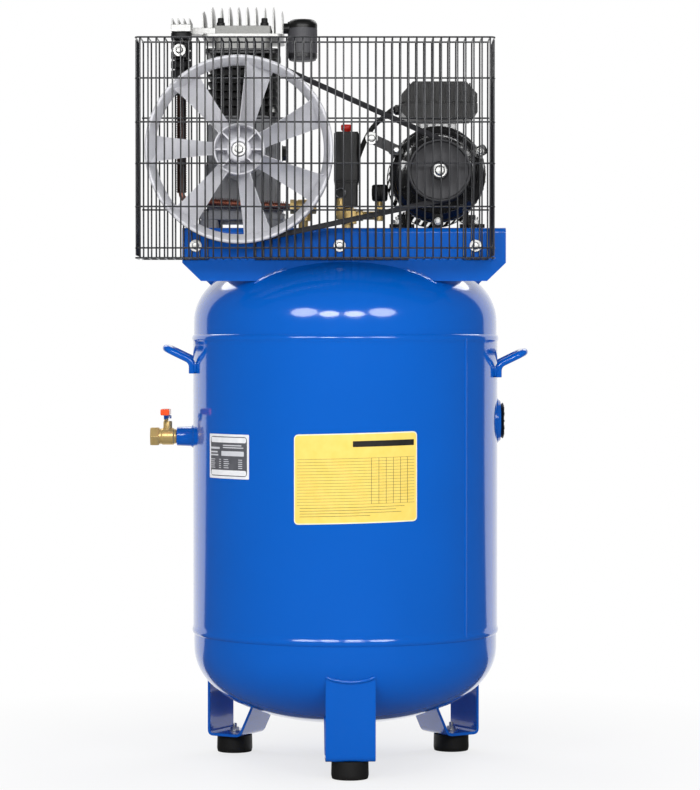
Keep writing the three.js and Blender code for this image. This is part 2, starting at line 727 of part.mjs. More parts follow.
// Guard bolts clamp the rear net on the deck's front apron.
const netFaceY = guardRearY - wire / 2 - fit;
function clampBolt(washerRadius, backY) {
  return join(
    forward(rod(guardBoltRadius, 0, -netFaceY + backY + washerThickness, 8), backY),
    forward(rod(washerRadius, 0, washerThickness, 12), netFaceY),
    forward(hexagon(guardBoltFlats, 0, washerThickness + guardBoltHead), netFaceY),
  );
}
guardBoltBays.forEach((bay, i) => {
  const bolt = clampBolt(guardWasherRadius, -deckHalfDepth + deckPlate + guardBoltEnd);
  add(guard, `guard_bolt_${['left', 'centre', 'right'][i]}`, bolt, 'zinc')
    .position.set(bayX(bay), 0, guardBoltZ);
});

// Crankcase, its feet and front cover
const caseBottomZ = deckTopZ + fit + padHeight;
const caseSide = [
  [caseFlangeHalfWidth, caseBottomZ], [caseFlangeHalfWidth, caseBottomZ + caseFlangeThickness],
  [caseHalfWidth, caseBottomZ + caseFlangeThickness + caseShoulder],
  [caseHalfWidth, caseTopZ - caseShoulder], [caseHalfWidth - caseShoulder / 2, caseTopZ],
];
const caseShape = outline([...caseSide, ...[...caseSide].reverse().map(([x, z]) => [-x, z])]);
const caseBackY = caseFrontY + caseLength;
const pads = [];
for (const side of [-1, 1]) {
  for (const y of [caseFrontY, caseBackY - padLength]) {
    const x = side * (caseFlangeHalfWidth - padWidth / 2);
    pads.push(block(x - padWidth / 2, x + padWidth / 2, y, y + padLength, deckTopZ + fit,
      caseBottomZ + caseFlangeThickness / 2));
  }
}
add(pump, 'crankcase', join(upright(caseShape, caseFrontY, caseBackY), ...pads), 'casting');
const cover = turned([
  [crankRadius + fit, 0], [coverRadius, 0], [coverRadius, coverThickness], [bearingRadius, coverThickness],
  [bearingRadius, coverThickness + bearingLength], [crankRadius + fit, coverThickness + bearingLength],
  [crankRadius + fit, 0],
], 18);
add(pump, 'crankcase_cover', forward(cover, caseFrontY - fit).translate(0, 0, driveZ), 'casting');

// Cylinder block with cooling fins, valve plate and cylinder head
const blockBottomZ = caseTopZ + fit;
const block0 = plate(roundedOutline(blockHalfWidth, blockHalfDepth, blockCorner), blockBottomZ, blockTopZ);
const firstFinZ = blockBottomZ + finThickness;
const blockFins = Array.from({ length: finCount }, (_, i) => plate(
  chamferedOutline(finHalfWidth, finHalfDepth, finCorner),
  firstFinZ + i * finPitch, firstFinZ + i * finPitch + finThickness));
add(pump, 'cylinder_block', join(block0, ...blockFins), 'black');
const valvePlateZ = blockTopZ + fit;
add(pump, 'valve_plate', plate(roundedOutline(valvePlateHalfWidth, valvePlateHalfDepth, blockCorner),
  valvePlateZ, valvePlateZ + valvePlateThickness), 'black');
const headZ = valvePlateZ + valvePlateThickness + fit;
const slabZ = headZ + headLowerHeight;
const upperZ = slabZ + headSlabThickness;
const headTopZ = upperZ + headFinHeight;
const armTopZ = upperZ + armRise;
const headFins = Array.from({ length: headFinCount }, (_, i) => {
  const x = (i - (headFinCount - 1) / 2) * headFinPitch;
  const top = headTopZ - (i === 0 || i === headFinCount - 1 ? outerFinDrop : 0);
  const root = Math.abs(x) < headHalfWidth ? upperZ + headUpperHeight / 2 : slabZ;
  return block(x - headFinThickness / 2, x + headFinThickness / 2, -headFinHalfDepth, headFinHalfDepth, root, top);
});
const armX = coolerX - driveX;
const armFins = Array.from({ length: armFinCount }, (_, i) => {
  const x = armX + (i - (armFinCount - 1) / 2) * armFinPitch;
  return block(x - armFinThickness / 2, x + armFinThickness / 2, coolerY - armHalfDepth,
    coolerY + armHalfDepth, armTopZ - armThickness / 2, armTopZ + armFinHeight);
});
const cylinderHead = join(
  plate(roundedOutline(headHalfWidth, headHalfDepth, blockCorner), headZ, slabZ + headSlabThickness / 2),
  plate(roundedOutline(headSlabHalfWidth, headHalfDepth + headSlabThickness, blockCorner), slabZ, upperZ),
  plate(roundedOutline(headHalfWidth, headHalfDepth, blockCorner), slabZ, upperZ + headUpperHeight),
  block(armX - armHalfWidth, -headHalfWidth + overrun, -headHalfDepth, -headHalfDepth / 2,
    armTopZ - armThickness, armTopZ),
  block(armX - armHalfWidth, armX + armHalfWidth, coolerY - armHalfDepth, -headHalfDepth + overrun,
    armTopZ - armThickness, armTopZ),
  ...headFins, ...armFins,
);
add(pump, 'cylinder_head', cylinderHead, 'aluminium');

// Air filter on a short neck at the head's right
const filterTopZ = upperZ + filterRise;
const filterBottomZ = filterTopZ - filterHeight;
const filterNeckZ = filterTopZ - filterNeckDrop;
const filter = join(
  turned([
    [0, filterBottomZ], [filterRadius - filterCrown / 2, filterBottomZ],
    [filterRadius - filterCrown / 2, filterBottomZ + filterLip], [filterRadius, filterBottomZ + filterLip],
    [filterRadius, filterTopZ - filterCrown], [filterRadius - filterCrown, filterTopZ], [0, filterTopZ],
  ], 18).translate(filterX, filterY, 0),
  leftward(rod(filterNeckRadius, 0, filterX - headSlabHalfWidth - fit, 12), filterX)
    .translate(0, filterY, filterNeckZ),
);
add(pump, 'air_filter', filter, 'plastic');

// Discharge cooler: a finned stack under the arm, then a finned copper pipe to the check valve
const stackTopZ = armTopZ - armThickness - fit;
const stackPitch = stackFinThickness + stackFinGap;
const stackBottomZ = stackTopZ - stackFinCount * stackPitch;
const stackProfile = [[0, stackBottomZ - reducerLength], [reducerRadius, stackBottomZ - reducerLength],
  [reducerRadius, stackBottomZ - stackFinGap], [stackCoreRadius, stackBottomZ]];
for (let i = 0; i < stackFinCount; i += 1) {
  const z = stackBottomZ + i * stackPitch;
  stackProfile.push([stackRadius, z], [stackRadius, z + stackFinThickness],
    [stackCoreRadius, z + stackFinThickness], [stackCoreRadius, z + stackPitch]);
}
stackProfile.push([0, stackTopZ]);
add(pump, 'discharge_cooler', turned(stackProfile, 8).translate(armX, coolerY, 0), 'black');

const coolerTopZ = stackBottomZ - reducerLength - fit;
// A pipe along Z whose wall rises to a fin at each pitch.
function finned(length) {
  const count = Math.floor(length / coolerFinPitch);
  const profile = [[0, 0], [coolerTubeRadius, 0]];
  for (let i = 0; i < count; i += 1) {
    profile.push([coolerFinRadius, (i + 1 / 2) * coolerFinPitch], [coolerTubeRadius, (i + 1) * coolerFinPitch]);
  }
  if (count * coolerFinPitch < length) profile.push([coolerTubeRadius, length]);
  profile.push([0, length]);
  return turned(profile, 6);
}
const runStartX = armX + coolerBend;
const checkLocalX = checkX - driveX;
const runEndX = checkLocalX - checkHalfLength - fit;
const runTilt = Math.atan2(coolerRunDrop, runEndX - runStartX);
const runLength = (runEndX - runStartX) / Math.cos(runTilt);
const checkZ = coolerBottomZ - coolerBend - coolerRunDrop;
const bendPoints = [
  [armX, coolerY, coolerBottomZ + overrun], [armX, coolerY, coolerBottomZ],
  [armX + coolerBend * bendInnerShare, coolerY, coolerBottomZ - coolerBend * (1 - bendInnerShare)],
  [runStartX, coolerY, coolerBottomZ - coolerBend], [runStartX + overrun, coolerY, coolerBottomZ - coolerBend],
];
const coolerPipe = join(
  finned(coolerTopZ - coolerBottomZ).translate(armX, coolerY, coolerBottomZ),
  tube(bendPoints, coolerTubeRadius, 6, 7),
  rightward(finned(runLength)).rotateY(runTilt).translate(runStartX, coolerY, coolerBottomZ - coolerBend),
);
add(pump, 'cooler_pipe', coolerPipe, 'copper');
const checkValve = cut(
  join(
    rightward(rod(checkRadius, -checkHalfLength, checkHalfLength, 12)).translate(checkX, checkY, checkZ),
    rod(checkStemRadius, upperSeamZ + headSkirt, checkZ, 12).translate(checkX, checkY, 0),
    hexagon(checkRadius * 2, checkZ - checkRadius * 2, checkZ - checkRadius / 2).translate(checkX, checkY, 0),
  ),
  topCutter,
);
add(controls, 'check_valve', checkValve, 'brass');

// Crankshaft and flywheel with fan blades, both about the drive axis
const wheelFrontY = beltY - wheelDepth / 2;
const wheelBackY = beltY + wheelDepth / 2;
const drive = new THREE.Group();
drive.position.set(driveX, 0, driveZ);
model.add(drive);
pump.position.x = driveX;
const crankEndY = caseFrontY - fit * 3;
const bossFaceY = wheelFrontY + (wheelDepth - bossDepth);
add(drive, 'crankshaft', forward(rod(crankRadius, 0, crankEndY - bossFaceY, 16), crankEndY),
  'steel');

// A grooved rim's outline, from its inner radius outwards, for a belt centred at height zero.
function groovedRim(inner, outer, half) {
  const [top, base] = [beltTop / 2 + grooveSide, beltBase / 2 + grooveSide];
  const floor = outer - beltHeight + beltProud - grooveFloor;
  return [
    [inner, -half], [outer, -half], [outer, -top], [floor, -base],
    [floor, base], [outer, top], [outer, half], [inner, half],
  ];
}
const rimInner = wheelRadius - rimWidth;
const rimPoints = groovedRim(rimInner, wheelRadius, wheelDepth / 2);
const rim = forward(turned([...rimPoints, rimPoints[0]], 32), beltY);
const hubShell = forward(turned([
  [crankRadius + fit, -wheelDepth / 2], [hubRadius, -wheelDepth / 2], [hubRadius, wheelDepth / 2],
  [hubRadius - hubWall, wheelDepth / 2], [hubRadius - hubWall, -wheelDepth / 2 + hubWebThickness],
  [bossRadius, -wheelDepth / 2 + hubWebThickness], [bossRadius, bossDepth - wheelDepth / 2],
  [crankRadius + fit, bossDepth - wheelDepth / 2], [crankRadius + fit, -wheelDepth / 2],
], 16), beltY);
const hubRibs = Array.from({ length: hubRibCount }, (_, i) => block(
  bossRadius - hubWall / 2, hubRadius - hubWall / 2, wheelFrontY + hubWebThickness, wheelBackY - hubWebThickness / 2,
  -hubRibThickness / 2, hubRibThickness / 2).rotateY((Math.PI * 2 * i) / hubRibCount));
function blade(turnAngle) {
  const [inner, outer] = [hubRadius - hubWall / 2, rimInner + rimWidth / 6];
  const geometry = new THREE.BoxGeometry(outer - inner, bladeChord, bladeThickness, 2, 1, 1);
  geometry.translate((outer + inner) / 2, 0, 0);
  const place = geometry.attributes.position;
  for (let i = 0; i < place.count; i += 1) {
    const share = (place.getX(i) - inner) / (outer - inner);
    const angle = bladeHubAngle + (bladeRimAngle - bladeHubAngle) * share - Math.PI / 2;
    const [y, z] = [place.getY(i), place.getZ(i)];
    // The chord narrows at the hub, whose ring is the narrower seat.
    const chord = y * (hubChordShare + (1 - hubChordShare) * share);
    place.setY(i, chord * Math.cos(angle) - z * Math.sin(angle));
    place.setZ(i, chord * Math.sin(angle) + z * Math.cos(angle));
  }
  return geometry.rotateY(-turnAngle).translate(0, beltY, 0);
}
const blades = Array.from({ length: bladeCount }, (_, i) => blade(Math.PI + (Math.PI * 2 * i) / bladeCount));
const wheel = join(rim, hubShell, ...hubRibs, ...blades);
add(drive, 'flywheel', wheel, 'wheel');
const hubBolt = join(
  forward(rod(hubWasherRadius, 0, washerThickness, 14), bossFaceY - fit),
  forward(hexagon(boltFlats, 0, washerThickness + boltHead), bossFaceY - fit),
);
add(drive, 'flywheel_bolt', hubBolt, 'zinc');

// Motor pulley and shaft, about the motor's axis
const motorDrive = new THREE.Group();
motorDrive.position.set(motorX, 0, motorZ);
model.add(motorDrive);
const pulleyBack = -pulleyWidth / 2 - pulleyHubLength;
const pulleyPoints = groovedRim(motorShaftRadius + fit, pulleyRadius, pulleyWidth / 2).slice(1);
const pulley = turned([
  [motorShaftRadius + fit, pulleyBack], [pulleyHubRadius, pulleyBack], [pulleyHubRadius, -pulleyWidth / 2],
  ...pulleyPoints, [motorShaftRadius + fit, pulleyBack],
], 16);
add(motorDrive, 'motor_pulley', forward(pulley, beltY), 'black');
const pulleyFaceY = beltY - pulleyWidth / 2;
const shaftBackY = motorFrameFrontY - fit * 3;
add(motorDrive, 'motor_shaft', forward(rod(motorShaftRadius, 0, shaftBackY - pulleyFaceY - fit, 16), shaftBackY),
  'steel');
const pulleyBolt = join(
  forward(rod(boltWasherRadius, 0, washerThickness, 14), pulleyFaceY - fit),
  forward(hexagon(boltFlats, 0, washerThickness + boltHead), pulleyFaceY - fit),
);
add(motorDrive, 'pulley_bolt', pulleyBolt, 'zinc');

// V-belt: its section swept round both grooves, as a closed loop.
function beltLoop() {
  const wheels = [
    { x: driveX, z: driveZ, r: wheelRadius + beltProud },
    { x: motorX, z: motorZ, r: pulleyRadius + beltProud },
  ];
  const span = Math.hypot(motorX - driveX, motorZ - driveZ);
  const slope = Math.atan2(motorZ - driveZ, motorX - driveX);
  const lean = Math.acos((wheels[0].r - wheels[1].r) / span);
  const stations = [];
  const arc = (wheel, from, to) => {
    const steps = Math.max(8, Math.round((wheel.r * (to - from)) / beltStep));
    for (let i = 0; i <= steps; i += 1) {
      const angle = from + ((to - from) * i) / steps;
      stations.push([wheel.x + wheel.r * Math.cos(angle), wheel.z + wheel.r * Math.sin(angle), angle]);
    }
  };
  arc(wheels[0], slope + lean, slope + Math.PI * 2 - lean);
  arc(wheels[1], slope - lean, slope + lean);
  const positions = [];
  for (const [x, z, angle] of stations) {
    for (const [inward, y] of [[0, -beltTop / 2], [0, beltTop / 2], [beltHeight, beltBase / 2],
      [beltHeight, -beltBase / 2]]) {
      positions.push(x - inward * Math.cos(angle), beltY + y, z - inward * Math.sin(angle));
    }
  }
  const sides = 4;
  const index = [];
  for (let i = 0; i < stations.length; i += 1) {
    const next = (i + 1) % stations.length;
    for (let k = 0; k < sides; k += 1) {
      const [a, b] = [i * sides + k, i * sides + ((k + 1) % sides)];
      const [c, d] = [next * sides + k, next * sides + ((k + 1) % sides)];
      index.push(a, b, d, a, d, c);
    }
  }
  const geometry = new THREE.BufferGeometry();
  geometry.setAttribute('position', new THREE.Float32BufferAttribute(positions, 3));
  geometry.setIndex(index);
  geometry.computeVertexNormals();
  return geometry;
}
add(model, 'v_belt', beltLoop(), 'rubber');

// Motor: finned frame on feet, front shield, fan cowl and terminal box
motor.position.set(motorX, 0, motorZ);
const finOutline = [];
for (let i = 0; i < motorFinCount; i += 1) {
  const pitch = (Math.PI * 2) / motorFinCount;
  const half = (pitch * motorFinShare) / 2;
  for (const [angle, radius] of [
    [i * pitch - half, motorRadius], [i * pitch - half * finTipShare, motorRadius + motorFinHeight],
    [i * pitch + half * finTipShare, motorRadius + motorFinHeight], [i * pitch + half, motorRadius],
  ]) finOutline.push([radius * Math.cos(angle), radius * Math.sin(angle)]);
}
const frameBackY = motorFrameFrontY + motorFrameLength;
const footBaseZ = deckTopZ + fit - motorZ;
const frameCentreY = (motorFrameFrontY + frameBackY) / 2;
const feet = [-1, 1].flatMap((side) => [
  block(Math.min(side * motorFootLegX, side * motorFootHalfSpan) - (side < 0 ? 0 : motorFootLegWidth),
    Math.max(side * motorFootLegX, side * motorFootHalfSpan) + (side < 0 ? motorFootLegWidth : 0),
    frameCentreY - motorFootLength / 2, frameCentreY + motorFootLength / 2,
    footBaseZ, footBaseZ + motorFootThickness),
  block(side * motorFootLegX - motorFootLegWidth / 2, side * motorFootLegX + motorFootLegWidth / 2,
    frameCentreY - motorFootLength / 2, frameCentreY + motorFootLength / 2,
    footBaseZ, -motorRadius / 2),
]);
const boxY = [boxCentreY - boxDepth / 2, boxCentreY + boxDepth / 2];
const neckTopZ = boxBottomZ - fit - motorZ;
const neck = block(-boxNeckHalfWidth, boxNeckHalfWidth, boxY[0] + boxNeckHalfWidth / 2,
  boxY[1] - boxNeckHalfWidth / 2, motorRadius - motorFinHeight, neckTopZ);
add(motor, 'motor_frame', join(
  upright(outline(finOutline), motorFrameFrontY, frameBackY), ...feet, neck), 'black');
const shieldFace = shieldLength - shieldBossLength;
const shield = turned([
  [motorShaftRadius + fit, 0], [shieldRadius, 0], [shieldRadius, shieldFace * shieldRimShare],
  [shieldRadius * shieldFaceShare, shieldFace], [shieldBossRadius, shieldFace], [shieldBossRadius, shieldLength],
  [motorShaftRadius + fit, shieldLength], [motorShaftRadius + fit, 0],
], 16);
const lugs = lugAngles.map((angle) => block(-lugSize, lugSize, -lugSize, lugSize, 0, shieldFace)
  .rotateZ(angle).translate(lugRadius * Math.cos(angle), lugRadius * Math.sin(angle), 0));
add(motor, 'motor_front_shield', forward(join(shield, ...lugs), motorFrameFrontY - fit), 'black');
const cowl = turned([
  [0, 0], [cowlRadius, 0], [cowlRadius, cowlLength - cowlDome],
  [cowlRadius * cowlShoulderShare, cowlLength - cowlDome / 4], [cowlRadius * cowlFaceShare, cowlLength], [0, cowlLength],
], 20).rotateX(-Math.PI / 2).translate(0, frameBackY + fit, 0);
add(motor, 'motor_fan_cowl', cowl, 'black');
const boxShape = outline([
  [boxLeft, boxBottomZ], [boxRight, boxBottomZ], [boxRight, boxTopZ - boxCornerHeight],
  [boxRight - boxCornerWidth, boxTopZ], [boxLeft + boxCornerWidth, boxTopZ],
  [boxLeft, boxTopZ - boxCornerHeight],
]);
const boxGland = leftward(rod(glandRadius, -overrun, glandLength, 12), boxLeft)
  .translate(0, cablePoints[0][1], boxGlandZ);
add(controls, 'terminal_box', join(upright(boxShape, ...boxY), boxGland), 'black');

// Manifold on the top head with the safety valve and the regulator's stem
const branchLength = manifoldY - safetyY;
const manifold = cut(
  join(
    rod(nippleRadius, upperSeamZ + headSkirt, manifoldTopZ, 16).translate(manifoldX, manifoldY, 0),
    block(manifoldX - manifoldHalfWidth, manifoldX + manifoldHalfWidth, manifoldY - manifoldHalfWidth,
      manifoldY + manifoldHalfWidth, manifoldBottomZ, manifoldTopZ - branchRadius / 2),
    forward(rod(branchRadius, 0, branchLength + branchRadius, 12), manifoldY)
      .translate(safetyX, 0, branchZ),
    rod(safetyRadius, branchZ, safetyTopZ, 12).translate(safetyX, safetyY, 0),
    rightward(rod(branchRadius, 0, regulatorX - manifoldX + branchRadius, 12), manifoldX)
      .translate(0, manifoldY, branchZ),
    rod(regulatorStemRadius, branchZ, regulatorKnobBottomZ - fit, 12).translate(regulatorX, manifoldY, 0),
  ),
  topCutter,
  rod(ringStemRadius + fit, safetyTopZ - ringStemLength, safetyTopZ + overrun, 8)
    .translate(safetyX, safetyY, 0),
);
add(controls, 'manifold', manifold, 'brass');
const pullRing = join(
  rod(ringStemRadius, safetyTopZ - ringStemLength + fit, safetyTopZ + ringWire * 2, 8),
  new THREE.TorusGeometry(ringRadius, ringWire, 5, 12).rotateX(Math.PI / 2)
    .translate(0, 0, safetyTopZ + ringRadius + ringWire),
);
add(controls, 'safety_valve_ring', pullRing, 'steel').position.set(safetyX, safetyY, 0);
const regulatorKnob = turned([
  [0, 0], [regulatorKnobRadius * knobFootShare, 0], [regulatorKnobRadius, regulatorKnobHeight * knobGripShare],
  [regulatorKnobRadius, regulatorKnobHeight - switchBaseInset],
  [regulatorKnobRadius - switchBaseInset, regulatorKnobHeight], [0, regulatorKnobHeight],
], 16);
add(controls, 'regulator_knob', regulatorKnob, 'plastic')
  .position.set(regulatorX, manifoldY, regulatorKnobBottomZ);

// Pressure switch
const switchY = [switchFrontY, switchFrontY + switchDepth];
const switchCentreY = (switchY[0] + switchY[1]) / 2;
const coverZ = switchBaseZ + switchBaseHeight;
const knobBottomZ = switchTopZ - knobTravel;
const switchBody = cut(
  join(
    plate(roundedOutline(switchHalfWidth - switchBaseInset, switchDepth / 2 - switchBaseInset, switchCorner),
      switchBaseZ, coverZ + overrun).translate(switchX, switchCentreY, 0),
    plate(roundedOutline(switchHalfWidth, switchDepth / 2, switchCorner), coverZ, switchTopZ)
      .translate(switchX, switchCentreY, 0),
    forward(rod(glandRadius, 0, glandLength + overrun, 12), switchY[1] + glandLength)
      .translate(switchGlandX, 0, switchGlandZ),
  ),
  rod(knobRadius + knobClearance, knobBottomZ - knobTravel - fit, switchTopZ + overrun, 14)
    .translate(switchX, switchCentreY, 0),
);
add(controls, 'switch_body', switchBody, 'plastic');
const knob = turned([
  [0, knobBottomZ], [knobRadius, knobBottomZ], [knobRadius, switchTopZ + knobHeight - switchBaseInset],
  [knobRadius - switchBaseInset, switchTopZ + knobHeight], [0, switchTopZ + knobHeight],
], 14);
add(controls, 'switch_knob', knob.translate(switchX, switchCentreY, 0), 'red');

// Cable from the switch's gland to the terminal box's
const cableEndY = switchY[1] + glandLength + fit;
add(controls, 'motor_cable', tube([
  [boxLeft - glandLength - fit, cablePoints[0][1], boxGlandZ],
  [boxLeft - glandLength - overrun, cablePoints[0][1], boxGlandZ],
  ...cablePoints,
  [switchGlandX, cableEndY + overrun, switchGlandZ], [switchGlandX, cableEndY, switchGlandZ],
], cableRadius, 8, 13), 'rubber');

// Stays hold the guard's upper part on the motor and on the discharge cooler.
const stayY = guardRearY + wire / 2 + fit;
const lugX = motorX + lugRadius * Math.cos(lugAngles[1]);
const lugZ = motorZ + lugRadius * Math.sin(lugAngles[1]);
const stayX = bayX(stayBay);
const stayRun = Math.hypot(lugX - stayX, lugZ - stayZ);
const shieldFaceY = motorFrameFrontY - fit - shieldFace;
const motorStay = join(
  clampBolt(stayWasherRadius, stayY + stayThickness).translate(stayX, 0, stayZ),
  upright(roundedOutline(stayRun / 2 + stayWidth / 2, stayWidth / 2, stayWidth / 2 - fit),
    stayY, stayY + stayThickness).rotateY(-Math.atan2(lugZ - stayZ, lugX - stayX))
    .translate((lugX + stayX) / 2, 0, (lugZ + stayZ) / 2),
  forward(rod(stayWidth / 2 - fit * 2, 0, shieldFaceY - fit - stayY - stayThickness / 2, 12),
    shieldFaceY - fit).translate(lugX, 0, lugZ),
);
add(guard, 'guard_stay_motor', motorStay, 'black');
const pumpStayX = bayX(pumpStayBay);
const pumpStaySides = [pumpStayX - pumpStayWidth / 2, pumpStayX + pumpStayWidth / 2];
const pumpStayFoot = pumpStayZ - pumpStayTabHalfHeight;
const pumpStay = join(
  clampBolt(stayWasherRadius, stayY + stayThickness).translate(pumpStayX, 0, pumpStayZ),
  block(...pumpStaySides, stayY, stayY + stayThickness, pumpStayFoot, pumpStayZ + pumpStayTabHalfHeight),
  block(...pumpStaySides, stayY, coolerY - stackRadius - fit, pumpStayFoot, pumpStayFoot + stayThickness),
);
add(guard, 'guard_stay_pump', pumpStay, 'black');

// The origin lies under the middle of the whole part, on the floor.
const bounds = new THREE.Box3().setFromObject(model);
model.position.set(-(bounds.min.x + bounds.max.x) / 2, -(bounds.min.y + bounds.max.y) / 2, -bounds.min.z);

const compressor = new THREE.Group();
compressor.add(model);

export default compressor;
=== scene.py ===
"""Vertical tank compressor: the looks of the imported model, in its own frame, in metres."""
import math

import bpy
from mathutils import Matrix, Vector


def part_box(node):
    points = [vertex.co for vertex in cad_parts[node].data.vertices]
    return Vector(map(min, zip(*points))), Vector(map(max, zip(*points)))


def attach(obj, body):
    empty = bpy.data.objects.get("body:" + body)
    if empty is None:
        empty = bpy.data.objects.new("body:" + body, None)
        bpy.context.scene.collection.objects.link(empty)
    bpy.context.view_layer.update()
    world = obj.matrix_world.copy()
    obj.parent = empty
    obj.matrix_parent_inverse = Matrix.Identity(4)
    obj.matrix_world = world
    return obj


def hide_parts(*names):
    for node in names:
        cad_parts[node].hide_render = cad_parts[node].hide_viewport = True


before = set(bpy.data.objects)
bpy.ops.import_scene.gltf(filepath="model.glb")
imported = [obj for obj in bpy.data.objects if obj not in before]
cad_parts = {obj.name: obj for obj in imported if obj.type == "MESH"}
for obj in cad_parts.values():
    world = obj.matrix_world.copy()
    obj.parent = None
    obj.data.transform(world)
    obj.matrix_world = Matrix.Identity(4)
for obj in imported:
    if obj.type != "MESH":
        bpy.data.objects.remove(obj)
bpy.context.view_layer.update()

MM = 0.001
head_low, head_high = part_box("tank_top_head")
AXIS = Vector(((head_low.x + head_high.x) / 2, (head_low.y + head_high.y) / 2, 0))  # the tank's own axis

# Camera
PHOTO_HEIGHT, FOCAL_PX = 790, 2934
CAMERA_DISTANCE, CAMERA_HEIGHT, SENSOR = 5.02, 0.717, 36
TILT = math.radians(1.054)
PAN = math.radians(0.092)

camera_data = bpy.data.cameras.new("camera")
camera_data.sensor_width = SENSOR
camera_data.lens = FOCAL_PX / PHOTO_HEIGHT * SENSOR
camera = bpy.data.objects.new("camera", camera_data)
camera.location = (AXIS.x, AXIS.y - CAMERA_DISTANCE, CAMERA_HEIGHT)
camera.rotation_euler = (math.pi / 2 - TILT, 0, -PAN)
bpy.context.collection.objects.link(camera)
bpy.context.scene.camera = camera


# Colours and nodes
def srgb(hex_code):
    """A written sRGB colour as the linear RGBA that the shaders take."""
    def linear(value):
        return value / 12.92 if value <= 0.04045 else ((value + 0.055) / 1.055) ** 2.4
    return [linear(int(hex_code[i:i + 2], 16) / 255) for i in (1, 3, 5)] + [1.0]


def add(tree, kind, feeds=None, **settings):
    """Adds one node with its settings. feeds gives its inputs, each a value or the socket that feeds it."""
    made = tree.nodes.new(kind)
    for name, value in settings.items():
        setattr(made, name, value)
    for name, value in (feeds or {}).items():
        if isinstance(value, bpy.types.NodeSocket):
            tree.links.new(value, made.inputs[name])
        else:
            made.inputs[name].default_value = value
    return made


def finish(name, metallic=0.0, roughness=0.5, **sockets):
    """An empty material of that real finish: its material, its tree and its surface shader."""
    material = bpy.data.materials.new(name)
    material.use_nodes = True
    tree = material.node_tree
    surface = tree.nodes["Principled BSDF"]
    surface.inputs["Metallic"].default_value = metallic
    surface.inputs["Roughness"].default_value = roughness
    for socket, value in sockets.items():
        surface.inputs[socket.replace("_", " ")].default_value = value
    return material, tree, surface


def grain(tree, size_mm, detail=3.0, stretch=(1, 1, 1)):
    """Noise whose grains are that many millimetres across, in the object's own metres."""
    place = add(tree, "ShaderNodeTexCoord")
    sized = add(tree, "ShaderNodeMapping", {"Vector": place.outputs["Object"], "Scale": stretch})
    return add(tree, "ShaderNodeTexNoise", {
        "Vector": sized.outputs["Vector"], "Scale": 1 / (size_mm * MM), "Detail": detail}).outputs["Fac"]


def between(tree, amount, low, high, dark, light):
    """A colour that goes from dark to light as amount goes from low to high."""
    ramp = add(tree, "ShaderNodeValToRGB", {"Fac": amount})
    ramp.color_ramp.elements[0].position, ramp.color_ramp.elements[1].position = low, high
    ramp.color_ramp.elements[0].color, ramp.color_ramp.elements[1].color = srgb(dark), srgb(light)
    return ramp.outputs["Color"]


def relief(tree, surface, height, depth_mm, strength):
    """Raises the surface by that many millimetres where height is 1."""
    bump = add(tree, "ShaderNodeBump", {"Height": height, "Distance": depth_mm * MM, "Strength": strength})
    tree.links.new(bump.outputs["Normal"], surface.inputs["Normal"])


def spread(tree, value, low, high, start=0.0, end=1.0):
    """A value that goes from low to high as the given one goes from start to end."""
    return add(tree, "ShaderNodeMapRange", {"Value": value, "From Min": start, "From Max": end,
                                            "To Min": low, "To Max": high}).outputs["Result"]


def roughen(tree, surface, amount, low, high):
    """Spreads the roughness between two values."""
    tree.links.new(spread(tree, amount, low, high), surface.inputs["Roughness"])


# Materials
def powder_coat(name, dark, light, roughness, orange_peel_mm=0.05, coat=0.6):
    """Baked powder coat: a smooth plastic skin with a soft orange peel, glossy at a low angle."""
    material, tree, surface = finish(name, 0.0, roughness, IOR=1.5, Coat_Weight=coat, Coat_Roughness=0.04)
    tree.links.new(between(tree, grain(tree, 160, 1), 0.2, 0.8, dark, light), surface.inputs["Base Color"])
    roughen(tree, surface, grain(tree, 25, 4), roughness * 0.85, roughness * 1.2)
    relief(tree, surface, grain(tree, 7, 2), orange_peel_mm, 0.3)
    return material


def cast_metal(name, dark, light, metallic, roughness, grit_mm, depth_mm):
    """Sand-cast or die-cast metal: fine grit from the mould, with darker hollows."""
    material, tree, surface = finish(name, metallic, roughness)
    grit = grain(tree, grit_mm, 5)
    tree.links.new(between(tree, grit, 0.3, 0.7, dark, light), surface.inputs["Base Color"])
    roughen(tree, surface, grain(tree, grit_mm * 4, 3), roughness * 0.8, roughness * 1.2)
    relief(tree, surface, grit, depth_mm, 0.6)
    return material


def moulded(name, dark, light, roughness, spark_mm, depth_mm, coat=0.0):
    """Moulded plastic or rubber: an even skin with the spark grain of its tool."""
    material, tree, surface = finish(name, 0.0, roughness, IOR=1.46, Coat_Weight=coat)
    skin = grain(tree, spark_mm, 4)
    tree.links.new(between(tree, skin, 0.35, 0.65, dark, light), surface.inputs["Base Color"])
    roughen(tree, surface, grain(tree, 12, 3), roughness * 0.85, roughness * 1.15)
    relief(tree, surface, skin, depth_mm, 0.5)
    return material


def worked_metal(name, dark, light, roughness, line_mm, stretch):
    """Turned, drawn or plated metal: fine lines that run the way it was worked."""
    material, tree, surface = finish(name, 1.0, roughness)
    lines = grain(tree, line_mm, 3, stretch)
    tree.links.new(between(tree, lines, 0.3, 0.7, dark, light), surface.inputs["Base Color"])
    roughen(tree, surface, lines, roughness * 0.75, roughness * 1.3)
    relief(tree, surface, lines, 0.02, 0.4)
    return material


